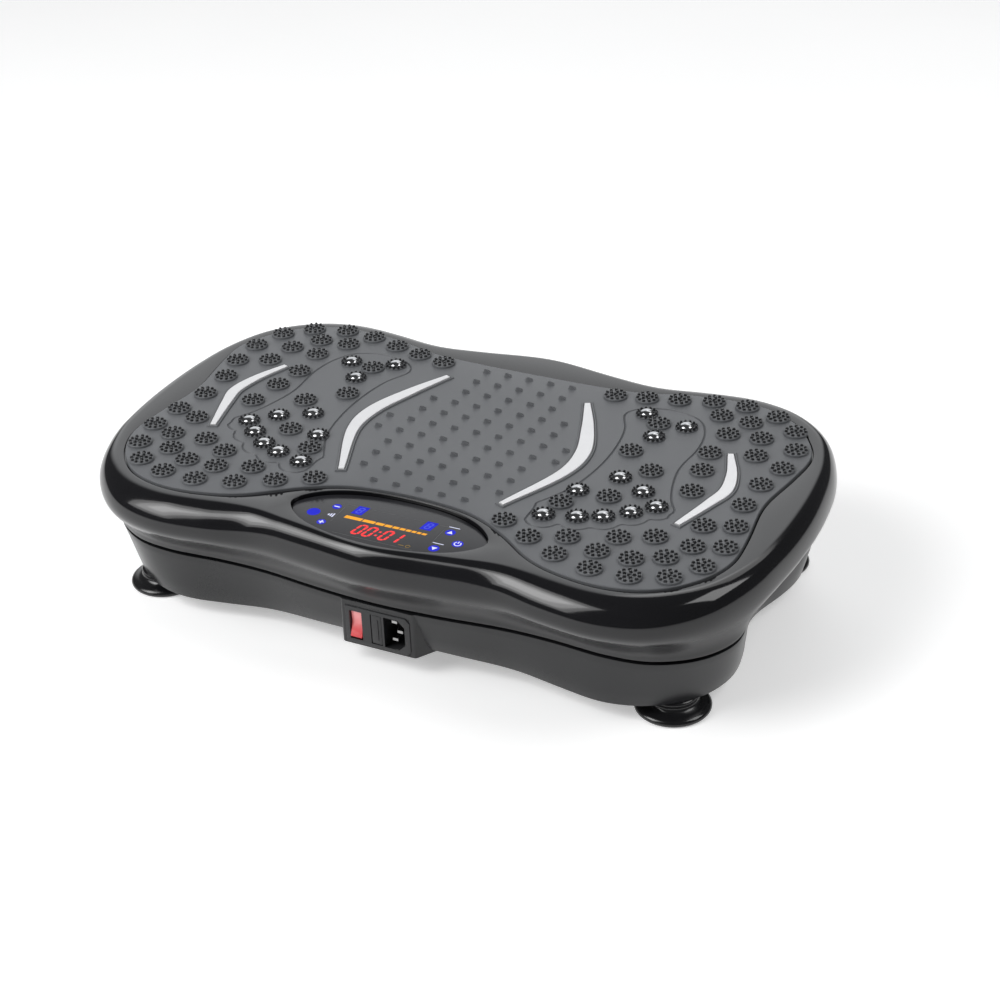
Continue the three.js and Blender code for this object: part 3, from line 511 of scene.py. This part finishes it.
def repeat(pattern, places, name, material, smooth=40):
    """One piece holding a copy of the pattern at each place."""
    copy = bpy.data.meshes.new("pattern")
    bmesh.ops.recalc_face_normals(pattern, faces=pattern.faces)
    pattern.to_mesh(copy)
    pattern.free()
    bm = bmesh.new()
    for x, y in places:
        start = len(bm.verts)
        bm.from_mesh(copy)
        bm.verts.ensure_lookup_table()
        bmesh.ops.translate(bm, vec=(x * mm, y * mm, 0), verts=bm.verts[start:])
    bpy.data.meshes.remove(copy)
    return made(bm, name, material, smooth)


# The cones' darker colour is painted shade: the shade that falls between and around them, not a different
# rubber.
cone_rubber_painted_shade = finish("cone_rubber_painted_shade", (0.016, 0.0165, 0.018), (0.03, 0.031, 0.034), (0.26, 0.36), relief=0.02,
                     grain=1500.0)
disc_places = [(side * x, y) for side in (1, -1) for x, y in NUBS]
nub = turned([
    (0, ROOT_Z), (NUB_R, ROOT_Z), (NUB_R, 107.1), (NUB_R - 0.2, 107.5), (NUB_R - 0.6, 107.7),
    (NUB_R - 1.6, 107.75), (0, 107.75),
], 28)
mat_discs = repeat(nub, disc_places, "mat_discs", mat_rubber)
disc_tips = bmesh.new()
for ring_radius, count, high in CONE_RINGS:
    cones(disc_tips, ring_radius, count, CONE_BASE_R, CONE_TIP_R, CONE_LOW_Z, high)
disc_cones = repeat(disc_tips, disc_places, "disc_cones", cone_rubber_painted_shade)

seat_places = [(side * x, y) for side in (1, -1) for x, y in STUDS]
seat = turned([
    (0, ROOT_Z), (SEAT_R, ROOT_Z), (SEAT_R, 106.5), (SEAT_R - 0.3, 106.9), (SEAT_R - 1, 107.0), (0, 107.0),
], 28)
stud_seats = repeat(seat, seat_places, "stud_seats", mat_rubber)
seat_tips = bmesh.new()
cones(seat_tips, 6.9, 13, 1.3, 0.6, 106.7, 109.0)
seat_cones = repeat(seat_tips, seat_places, "seat_cones", cone_rubber_painted_shade)

spike = bmesh.new()
spike_middle = Matrix.Translation((0, 0, (MAT_TOP_Z - SPIKE_SUNK + SPIKE_TALL / 2) * mm))
points = bmesh.ops.create_cone(spike, cap_ends=True, segments=6, radius1=SPIKE_BASE_R * mm,
                               radius2=SPIKE_TIP_R * mm, depth=(SPIKE_TALL + SPIKE_SUNK) * mm,
                               matrix=spike_middle)["verts"]
low = [v for v in points if v.co.z < MAT_TOP_Z * mm]
waist = [v for v in low if round(math.degrees(math.atan2(v.co.y, v.co.x)) / 60) % 2 == 0]
bmesh.ops.scale(spike, vec=(SPIKE_WAIST, SPIKE_WAIST, 1), verts=waist)
bmesh.ops.rotate(spike, cent=(0, 0, 0), matrix=Matrix.Rotation(SPIKE_TURN, 3, "Z"), verts=points)
grid = [(x * SPIKE_PITCH, row * SPIKE_PITCH)
        for column, (first, last) in enumerate(SPIKE_COLUMNS)
        for row in range(first, last + 1) for x in sorted({column, -column})]
mat_spikes = repeat(spike, grid, "mat_spikes", mat_rubber, 8)
for piece in (mat_discs, disc_cones, stud_seats, seat_cones, mat_spikes):
    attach(piece, "deck")


# ---------------------------------------------------------------- magnet studs
# Eleven polished steel caps on each side, pressed over the magnets that stand up through the mat. Each is a
# short cup with a low dome, and sits in its own ring of rubber cones.
STUD_R, STUD_FOOT_Z, DOME_Z, DOME_TALL = 5.3, 103.0, 107.0, 3.0
polished_steel = finish("polished_steel", (0.36, 0.365, 0.375), (0.46, 0.465, 0.475), (0.1, 0.22),
                        relief=0.004, grain=700.0, patch=160.0, Metallic=1.0)
for side, word in ((1, "right"), (-1, "left")):
    for number, (x, y) in enumerate(STUDS, 1):
        dome = [
            (STUD_R * math.cos(a), DOME_Z + DOME_TALL * math.sin(a))
            for a in np.linspace(0, math.pi / 2, 9)[:-1]
        ]
        skirt = [(0, STUD_FOOT_Z), (STUD_R - 0.3, STUD_FOOT_Z), (STUD_R, STUD_FOOT_Z + 0.3)]
        stud = turned(skirt + dome + [(0, DOME_Z + DOME_TALL)], 32)
        bmesh.ops.translate(stud, vec=(side * x * mm, y * mm, 0), verts=stud.verts)
        cap = made(stud, f"stud_cap_{word}_{number:02d}", polished_steel)
        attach(cap, "deck")
        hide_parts(f"magnet_stud_{word}_{number:02d}")


# ---------------------------------------------------------------- bright strips
# Two bent strips on each side, silver plastic with a fine brushed face and softened edges, let into the raised
# frames of the mat.
brushed_silver = finish("brushed_silver", (0.66, 0.66, 0.67), (0.74, 0.74, 0.75), (0.3, 0.42), relief=0.01,
                        grain=160.0, patch=30.0, stretch=14.0, Metallic=0.35)
for side, word in ((1, "right"), (-1, "left")):
    for key, (line, tip, middle) in STRIPS.items():
        strip = bmesh.new()
        strip_rings = [
            ring(strip, strip_outline(line, tip, middle, side, w), MAT_TOP_Z + h)
            for w, h in ((0, -1.2), (0, 0.9), (-0.15, 1.25), (-0.5, 1.5))
        ]
        skin(strip, strip_rings)
        fill(strip, strip_rings[0])
        fill(strip, strip_rings[-1])
        bar = made(strip, f"silver_strip_{key}_{word}", brushed_silver, 30)
        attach(bar, "deck")
        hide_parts(f"strip_{key}_{word}")


# ---------------------------------------------------------------- display window
# A smoked plate in its own recess, with a lit display under its middle and touch keys at both ends. What
# lights up is printed on its face.
smoked = finish("smoked_window", (0.020, 0.020, 0.023), (0.026, 0.026, 0.03), (0.16, 0.22), patch=20.0,
                Specular_IOR_Level=0.22)
LENS_LOW_Z, LENS_TOP_Z = 100.4, 101.8
LENS_AIR = 0.2
PRINT_STEP = 0.03  # from one printed layer to the next
plate = bmesh.new()
plate_edge = inset(lens_edge, LENS_AIR)
plate_rings = [ring(plate, plate_edge, LENS_LOW_Z)]
plate_rings += [ring(plate, o, z) for o, z in rounded(plate_edge, LENS_TOP_Z, 0.35, out=-1)[::-1]]
skin(plate, plate_rings)
fill(plate, plate_rings[0])
fill(plate, plate_rings[-1])
window = made(plate, "smoked_window", smoked)
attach(window, "deck")
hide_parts("display_lens")


def glowing(name, colour, strength, body=(0.02, 0.02, 0.02)):
    return finish(name, body, tuple(1.3 * c for c in body), (0.5, 0.6), patch=200.0, Specular_IOR_Level=0.08,
                  Emission_Color=(*colour, 1), Emission_Strength=strength)


def verts_in(geometry):
    return [g for g in geometry if isinstance(g, bmesh.types.BMVert)]


def printed(name, shapes, material, layer=1):
    """Flat shapes printed on the window, each a list of corners in millimetres, anticlockwise."""
    bm = bmesh.new()
    for corners in shapes:
        loop = ring(bm, np.array(corners, float), LENS_TOP_Z + PRINT_STEP * layer - 0.02)
        face = bmesh.ops.contextual_create(bm, geom=loop)["faces"]
        lifted = bmesh.ops.extrude_face_region(bm, geom=face, use_keep_orig=True)["geom"]
        bmesh.ops.translate(bm, vec=(0, 0, PRINT_STEP * mm), verts=verts_in(lifted))
    piece = made(bm, name, material)
    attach(piece, "deck")
    return piece


def box_at(x, y, wide, tall, lean=0.0):
    """A bar, its top pushed to the right by lean."""
    return [(x - wide / 2 - lean / 2, y - tall / 2), (x + wide / 2 - lean / 2, y - tall / 2),
            (x + wide / 2 + lean / 2, y + tall / 2), (x - wide / 2 + lean / 2, y + tall / 2)]


def arc_band(x, y, radius, wide, start, end, count=20):
    angles = np.radians(np.linspace(start, end, count))
    far, near = radius + wide / 2, radius - wide / 2
    outside = [(x + far * math.cos(a), y + far * math.sin(a)) for a in angles]
    inside = [(x + near * math.cos(a), y + near * math.sin(a)) for a in angles]
    return outside + inside[::-1]


def dot(x, y, radius, count=24):
    angles = np.linspace(0, 2 * math.pi, count + 1)[:-1]
    return [(x + radius * math.cos(a), y + radius * math.sin(a)) for a in angles]


def slanted(x, y, centre_y, slant=0.22):
    return x + (y - centre_y) * slant, y


FIGURES_Y = -125.0


def digit(x, lit, wide=4.8, tall=11.8, thick=1.75, y=FIGURES_Y):
    """One seven-segment digit; lit names its segments, a to g from the top, clockwise, the middle last."""
    w, h = wide / 2, tall / 2
    spots = {"a": (0, h, 1), "b": (w, h / 2, 0), "c": (w, -h / 2, 0), "d": (0, -h, 1), "e": (-w, -h / 2, 0),
             "f": (-w, h / 2, 0), "g": (0, 0, 1)}
    shapes = []
    for key in lit:
        dx, dy, flat = spots[key]
        long = (wide if flat else h) - 0.35
        t = thick / 2
        run = [(-long / 2, 0), (-long / 2 + t, -t), (long / 2 - t, -t), (long / 2, 0), (long / 2 - t, t),
               (-long / 2 + t, t)]
        corners = run if flat else [(-b, a) for a, b in run]
        shapes.append([slanted(x + dx + a, y + dy + b, y) for a, b in corners])
    return shapes


red_glow = glowing("red_glow", (1.0, 0.045, 0.05), 1.15, (0.05, 0.005, 0.005))
amber_glow = glowing("amber_glow", (1.0, 0.42, 0.03), 1.0, (0.06, 0.03, 0.005))
blue_glow = glowing("blue_glow", (0.012, 0.018, 0.62), 1.0, (0.004, 0.004, 0.03))
white_glow = glowing("white_glow", (0.75, 0.78, 1.0), 1.0, (0.05, 0.05, 0.05))
faint_print = finish("faint_print", (0.045, 0.045, 0.05), (0.06, 0.06, 0.066), (0.3, 0.4), patch=60.0)

time_figures = digit(-14.6, "abcdef") + digit(-6.6, "abcdef") + digit(5.6, "abcdef") + digit(13.4, "bc")
time_figures += [
    [slanted(*p, FIGURES_Y) for p in box_at(-0.5, FIGURES_Y + dy, 1.7, 1.7)] for dy in (2.4, -2.4)
]
printed("time_figures", time_figures, red_glow)

# The level bar's segments get shorter and a little lower from left to right.
BAR_X, BAR_Y, BAR_TALL, BAR_TAPER, BAR_GAP = -32.0, -113.6, 3.4, 0.02, 0.9
segments, x = [], BAR_X
for wide in (12.9, 9.1, 6.1, 5.1, 4.5, 3.8, 3.4, 3.0, 2.8, 3.2):
    segments.append(box_at(x + wide / 2, BAR_Y, wide, BAR_TALL - BAR_TAPER * (x - BAR_X), 0.6))
    x += wide + BAR_GAP
printed("level_bar", segments, amber_glow)
printed("window_frame", [
    box_at(0, -99.2, 78, 0.25), box_at(0, -134.6, 60, 0.25), box_at(-38, -113, 0.25, 20),
    box_at(38, -113, 0.25, 20),
], faint_print)
SQUARES_X, SQUARES_Y = (-26.0, 26.5), -103.2
printed("blue_squares", [box_at(x, SQUARES_Y, 8.2, 10.6, 1.4) for x in SQUARES_X], blue_glow)
KEYS = {"plus": (-43.5, -126.0, 3.2), "minus": (-43.5, -104.5, 3.2), "large": (-55.0, -116.5, 4.7),
        "up": (43.5, -105.0, 3.6), "power": (54.5, -116.0, 3.9), "down": (42.5, -127.0, 3.8)}
printed("touch_keys", [dot(*key) for key in KEYS.values()], blue_glow)


def at_key(key, corners):
    x, y, _ = KEYS[key]
    return [(x + a, y + b) for a, b in corners]


symbols = [
    at_key("plus", [(-2, -0.5), (-0.5, -0.5), (-0.5, -2), (0.5, -2), (0.5, -0.5), (2, -0.5), (2, 0.5),
                    (0.5, 0.5), (0.5, 2), (-0.5, 2), (-0.5, 0.5), (-2, 0.5)]),
    at_key("minus", box_at(0, 0, 4.2, 1.1)),
    at_key("power", arc_band(0, 0, 2.3, 0.8, 125, 415)),
    at_key("power", box_at(0, 1.7, 0.8, 2.6)),
    at_key("up", [(-2.2, -1.5), (2.2, -1.5), (0, 2)]),
    at_key("down", [(-2.2, 1.5), (0, -2), (2.2, 1.5)]),
]
symbols += [box_at(-43.6 + 1.7 * k, -115.6, 1.0, 2.2 + 1.2 * k) for k in range(3)]
symbols += [box_at(43.5, -98.6, 8, 0.7), box_at(42.5, -120.6, 8, 0.7)]
pale_blue_glow = glowing("pale_blue_glow", (0.12, 0.16, 0.95), 0.8, (0.01, 0.01, 0.05))
square_figures = [shape for x in SQUARES_X for shape in digit(x, "abcdefg", 3.2, 6.6, 0.7, SQUARES_Y)]
printed("square_figures", square_figures, pale_blue_glow, layer=2)
printed("white_symbols", symbols, white_glow, layer=2)
printed("amber_symbols", [arc_band(25.5, -131.6, 1.5, 0.5, 0, 330), box_at(20.5, -131.8, 4.0, 0.6)],
        glowing("dim_amber_glow", (0.5, 0.3, 0.03), 0.5))


# ---------------------------------------------------------------- base tub
# The lower moulding, satin dark grey: a wall that leans in towards the floor, arched at the waist, with a
# ledge and an upstand behind the deck's skirt, and a flat panel at the front that holds the mains inlet.
FOOTLINE = [
    (218, 0), (228, 40), (231, 68), (221, 97), (197, 119), (165, 129), (130, 125), (95, 120.5), (50, 124),
    (0, 126),
]
SHOULDER_Z, WALL_MID_Z, BASE_LOW_Z = 50.4, 30.0, 13.0
FLOOR_Z, FLOOR_TOP_Z = 20.0, 23.0
TUB_WALL = 3
ARCH_RISE, ARCH_HALF = 5.0, 150
PANEL_Y, PANEL_LOW_Z, PANEL_HALF = -135.0, 15.0, 28.0
satin_black = finish("satin_black", (0.010, 0.0105, 0.0115), (0.016, 0.0165, 0.018), (0.24, 0.34),
                     relief=0.006, grain=1200.0, patch=7.0, IOR=1.5)
foot_line = from_quarter(FOOTLINE)
shoulder = inset(seam, 0.8)
to_middle = np.clip(1 - np.abs(foot_line[:, 0]) / ARCH_HALF, 0, 1)
arch = BASE_LOW_Z + ARCH_RISE * (1 - np.cos(math.pi * to_middle)) / 2


def tub_wall(z, wall=0.0):
    share = (z - BASE_LOW_Z) / (SHOULDER_Z - BASE_LOW_Z)
    return inset(foot_line + (shoulder - foot_line) * share, wall)


def solid_block(bm, x, y, z):
    """A box from its limits along each axis, in millimetres."""
    size = [(b - a) * mm for a, b in (x, y, z)]
    middle = [(a + b) / 2 * mm for a, b in (x, y, z)]
    place = Matrix.Translation(middle) @ Matrix.Diagonal((*size, 1))
    return bmesh.ops.create_cube(bm, size=1, matrix=place)["verts"]


def about(middle, half):
    return middle - half, middle + half


def prism(bm, corners, low, high, turn=Matrix()):
    """A flat outline in millimetres raised from low to high, then turned."""
    loop = ring(bm, np.array(corners, float), low)
    face = bmesh.ops.contextual_create(bm, geom=loop)["faces"]
    lifted = verts_in(bmesh.ops.extrude_face_region(bm, geom=face, use_keep_orig=True)["geom"])
    bmesh.ops.translate(bm, vec=(0, 0, (high - low) * mm), verts=lifted)
    verts = {v for f in face for v in f.verts} | set(lifted)
    bmesh.ops.transform(bm, matrix=turn, verts=list(verts))
    bmesh.ops.recalc_face_normals(bm, faces=bm.faces)


def combined(piece, steps):
    """The piece with other solids joined to it or cut from it; they are used up."""
    for operation, tool in steps:
        change = piece.modifiers.new("change", "BOOLEAN")
        change.operation, change.object, change.solver = operation, tool, "EXACT"
        bpy.context.view_layer.update()
        mesh = bpy.data.meshes.new_from_object(piece.evaluated_get(bpy.context.evaluated_depsgraph_get()))
        piece.modifiers.clear()
        piece.data = mesh
        bpy.data.objects.remove(tool)
    piece.data.shade_smooth()
    piece.data.set_sharp_from_angle(angle=math.radians(30))
    return piece


tub = bmesh.new()
tub_levels = [
    (inset(foot_line, 3.0), FLOOR_Z), (inset(foot_line, 3.0), arch + 0.1), (inset(foot_line, 1.0), arch),
    (inset(foot_line, 0.3), arch + 0.3), (foot_line, arch + 1.0),
]
tub_levels += [(tub_wall(z), z) for z in (24, WALL_MID_Z, 37, 44, 49.2)]
tub_levels += [
    (inset(shoulder, 0.3), 50.0), (inset(shoulder, 1.2), SHOULDER_Z - 0.1), (inset(seam, 5.2), SHOULDER_Z),
    (inset(seam, 5.2), 61.3), (inset(seam, 7.7), 61.4), (inset(seam, 7.7), 46.4),
]
tub_levels += [(tub_wall(z, TUB_WALL), z) for z in (46.3, 44, 33, FLOOR_TOP_Z)]
tub_rings = [ring(tub, o, z) for o, z in tub_levels]
skin(tub, tub_rings)
fill(tub, tub_rings[0])
fill(tub, tub_rings[-1])
base_tub = made(tub, "base_tub", satin_black, 30)
panel = bmesh.new()
slant_out, slant_back = PANEL_HALF + 10, PANEL_Y + 16
panel_outline = [
    (-PANEL_HALF, PANEL_Y), (PANEL_HALF, PANEL_Y), (slant_out, slant_back), (-slant_out, slant_back),
]
prism(panel, panel_outline, PANEL_LOW_Z, SHOULDER_Z - 0.6)
upright = [
    e for e in panel.edges
    if abs(e.verts[0].co.z - e.verts[1].co.z) > 0.01 and e.verts[0].co.y < (PANEL_Y + 1) * mm
]
bmesh.ops.bevel(panel, geom=upright, offset=1.6 * mm, affect="EDGES", segments=4, profile=0.5, material=-1)
panel_block = made(panel, "panel_block", satin_black)
opening = bmesh.new()
solid_block(opening, about(0, 24.3), (PANEL_Y - 5, PANEL_Y + 33), (16.7, 45.3))
opening_block = made(opening, "opening_block", satin_black)
combined(base_tub, [("UNION", panel_block), ("DIFFERENCE", opening_block)])
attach(base_tub, "base")
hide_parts("base_shell")


# ---------------------------------------------------------------- suction feet
# Four black rubber cups under the lobes, polished, with a rolled lip on the floor and a bead round the stem.
# Each is one moulding, and its stem plugs into the base.
FOOT_X, FOOT_Y = 200, 97
foot_rubber = finish("foot_rubber", (0.007, 0.007, 0.008), (0.013, 0.013, 0.014), (0.13, 0.24), relief=0.01,
                     grain=500.0, patch=40.0)
FOOT_PROFILE = [
    (0, 3.2), (13, 2.8), (19.5, 0.3), (20.2, 0), (24.0, 0), (25.2, 0.5), (25.9, 1.5), (26, 2.4), (25.6, 3.4),
    (24.8, 4.2), (23.6, 4.9), (21, 5.6), (18.5, 6.4), (17.2, 7.4), (16.6, 8.6), (16.6, 9.6), (17.2, 10.6),
    (17.4, 11.6), (16.8, 12.6), (15.2, 13.2), (14, 13.6), (14, 19.6), (0, 19.6),
]
for end, row in ((-1, "front"), (1, "back")):
    for side, word in ((-1, "left"), (1, "right")):
        foot = turned(FOOT_PROFILE, 64)
        bmesh.ops.translate(foot, vec=(side * FOOT_X * mm, end * FOOT_Y * mm, 0), verts=foot.verts)
        cup = made(foot, f"suction_foot_{row}_{word}", foot_rubber, 50)
        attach(cup, "base")
        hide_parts(f"foot_{row}_{word}")


# ---------------------------------------------------------------- mains inlet
# A one-piece module in fine matt plastic, with a flange that clips over the panel's edge. It has a well for
# the key, a bay for the fuse drawer and a three-pin socket with two cut corners.
INLET_Z, KEY_X, DRAWER_X, SOCKET_X = 31.0, -16.8, -1.0, 13.0
inlet_plastic = finish("inlet_plastic", (0.017, 0.0175, 0.019), (0.024, 0.0245, 0.026), (0.3, 0.42),
                       relief=0.012, grain=1800.0, patch=40.0)
STAND_UP = Matrix.Rotation(math.pi / 2, 4, "X")  # an outline in x and z, raised towards the front
SOCKET_HALF_WIDE, SOCKET_HALF_TALL, SOCKET_CUT = 8, 12, 5
SOCKET = [
    (SOCKET_X - SOCKET_HALF_WIDE, INLET_Z - SOCKET_HALF_TALL),
    (SOCKET_X + SOCKET_HALF_WIDE - SOCKET_CUT, INLET_Z - SOCKET_HALF_TALL),
    (SOCKET_X + SOCKET_HALF_WIDE, INLET_Z - SOCKET_HALF_TALL + SOCKET_CUT),
    (SOCKET_X + SOCKET_HALF_WIDE, INLET_Z + SOCKET_HALF_TALL - SOCKET_CUT),
    (SOCKET_X + SOCKET_HALF_WIDE - SOCKET_CUT, INLET_Z + SOCKET_HALF_TALL),
    (SOCKET_X - SOCKET_HALF_WIDE, INLET_Z + SOCKET_HALF_TALL),
]
FLANGE = [(-24.9, 16.3), (21.8, 16.3), (24.9, 19.4), (24.9, 42.6), (21.8, 45.7), (-24.9, 45.7)]
body = bmesh.new()
solid_block(body, about(0, 24), (PANEL_Y + 0.1, PANEL_Y + 28), about(INLET_Z, 14))
inlet_body = made(body, "inlet_body", inlet_plastic, 30)
flange = bmesh.new()
prism(flange, FLANGE, -PANEL_Y - 0.2, -PANEL_Y + 0.8, STAND_UP)
front_edges = [e for e in flange.edges if all(v.co.y < (PANEL_Y - 0.7) * mm for v in e.verts)]
bmesh.ops.bevel(flange, geom=front_edges, offset=0.35 * mm, affect="EDGES", segments=2, profile=0.5,
                material=-1)
inlet_flange = made(flange, "inlet_flange", inlet_plastic, 30)
tools = []
for name, x, z, deep in (
    ("key_well", about(KEY_X, 4.8), about(INLET_Z, 11.3), 11.3),
    ("drawer_bay", about(DRAWER_X, 4.3), about(INLET_Z, 11.8), 22.3),
):
    hollow = bmesh.new()
    solid_block(hollow, x, (PANEL_Y - 3, PANEL_Y + deep), z)
    tools.append(made(hollow, name, inlet_plastic))
hollow = bmesh.new()
prism(hollow, SOCKET, -PANEL_Y - 17, -PANEL_Y + 3, STAND_UP)
tools.append(made(hollow, "socket_hollow", inlet_plastic))
combined(inlet_body, [("UNION", inlet_flange)] + [("DIFFERENCE", tool) for tool in tools])
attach(inlet_body, "base")
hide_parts("inlet_housing")

# The rocker key: clear red plastic, hollow-faced, lit from inside.
# The pale pink colour, used at the top of the key, is a painted highlight.
key_red = finish("key_red", (0.55, 0.012, 0.02), (0.9, 0.42, 0.42), (0.12, 0.2), patch=90.0, Coat_Weight=0.4,
                 Emission_Color=(1.0, 0.05, 0.05, 1), Emission_Strength=0.12)
key_nodes = key_red.node_tree
key_place = add(key_nodes, "ShaderNodeSeparateXYZ", {
    "Vector": add(key_nodes, "ShaderNodeTexCoord").outputs["Object"],
})
# Painted highlight: the base colour runs from deep red at the bottom to pale pink at the top.
height = add(key_nodes, "ShaderNodeMapRange", {
    "Value": key_place.outputs["Z"], "From Min": 0.022, "From Max": 0.041,
})
ramp = next(node for node in key_nodes.nodes if node.type == "VALTORGB")
key_nodes.links.new(height.outputs["Result"], ramp.inputs["Fac"])
KEY_SIDE = [
    (-3.2, -9.8), (-2.0, -4), (-1.3, 0), (-2.0, 4), (-3.2, 9.8), (1.5, 9.2), (5.5, 3.2), (5.5, -3.2),
    (1.5, -9.2),
]
KEY_TILT = math.radians(-10)
LIE_ALONG_X = Matrix(((0, 0, 1, 0), (1, 0, 0, 0), (0, 1, 0, 0), (0, 0, 0, 1)))
key = bmesh.new()
prism(key, KEY_SIDE[::-1], -4.4, 4.4, LIE_ALONG_X)
bmesh.ops.bevel(key, geom=key.edges[:], offset=0.35 * mm, affect="EDGES", segments=3, profile=0.5,
                material=-1)
key_seat = Matrix.Translation((KEY_X * mm, (PANEL_Y + 3) * mm, INLET_Z * mm))
bmesh.ops.transform(key, matrix=key_seat @ Matrix.Rotation(KEY_TILT, 4, "X"), verts=key.verts)
red_key = made(key, "red_key", key_red, 30)
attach(red_key, "switch_key")
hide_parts("rocker_key")

# The fuse drawer: a small carrier with two ribs to grip on its face.
drawer = bmesh.new()
solid_block(drawer, about(DRAWER_X, 3.9), (PANEL_Y - 0.5, PANEL_Y + 21.5), about(INLET_Z, 11.4))
bmesh.ops.bevel(drawer, geom=drawer.edges[:], offset=0.3 * mm, affect="EDGES", segments=2, profile=0.5,
                material=-1)
for dx in (-1.1, 1.1):
    solid_block(drawer, about(DRAWER_X + dx, 0.35), (PANEL_Y - 1.0, PANEL_Y), about(INLET_Z, 8))
bay = bmesh.new()
solid_block(bay, (DRAWER_X - 2.8, DRAWER_X + 5), (PANEL_Y + 3.2, PANEL_Y + 19.8), about(INLET_Z, 10.3))
fuse_carrier = made(drawer, "fuse_carrier", inlet_plastic, 30)
combined(fuse_carrier, [("DIFFERENCE", made(bay, "fuse_bay", inlet_plastic))])
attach(fuse_carrier, "fuse_carrier")
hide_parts("fuse_drawer")


# ---------------------------------------------------------------- pieces inside
# The drive, the frame and the boards keep their plain shapes, because the shells hide them, and so do the
# inlet's three pins. Each has its own finish.
bare_steel = finish("bare_steel", (0.34, 0.345, 0.35), (0.46, 0.465, 0.47), (0.3, 0.5), relief=0.008,
                    grain=300.0, patch=25.0, stretch=6.0, Metallic=1.0)
cast_paint = finish("cast_paint", (0.028, 0.031, 0.035), (0.05, 0.054, 0.06), (0.4, 0.6), relief=0.05,
                    grain=260.0, patch=30.0)
nylon = finish("nylon", (0.6, 0.57, 0.48), (0.7, 0.68, 0.6), (0.4, 0.55), relief=0.01,
               grain=500.0, patch=40.0)
belt_rubber = finish("belt_rubber", (0.012, 0.012, 0.013), (0.022, 0.022, 0.024), (0.6, 0.8), relief=0.06,
                     grain=220.0, patch=60.0, stretch=4.0)
green_board = finish("green_board", (0.012, 0.08, 0.03), (0.03, 0.15, 0.06), (0.25, 0.45), relief=0.02,
                     grain=240.0, patch=120.0)
nickel = finish("nickel", (0.4, 0.4, 0.4), (0.5, 0.5, 0.5), (0.2, 0.35), relief=0.004,
                grain=600.0, patch=80.0, Metallic=1.0)
KEPT = {
    bare_steel: ["chassis_plate", "swing_frame", "pivot_shaft", "link_pin", "connecting_rod", "crank_shaft",
                 "motor_shaft"],
    cast_paint: ["pivot_block_front", "pivot_block_back", "bearing_block_front", "bearing_block_back",
                 "motor_case"],
    nylon: ["crank_pulley", "motor_pulley"],
    belt_rubber: ["drive_belt"],
    green_board: ["display_board", "control_board"],
    nickel: ["inlet_pin_line", "inlet_pin_neutral", "inlet_pin_earth"],
}
for material, names in KEPT.items():
    for name in names:
        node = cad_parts[name]
        node.data.materials.clear()
        node.data.materials.append(material)
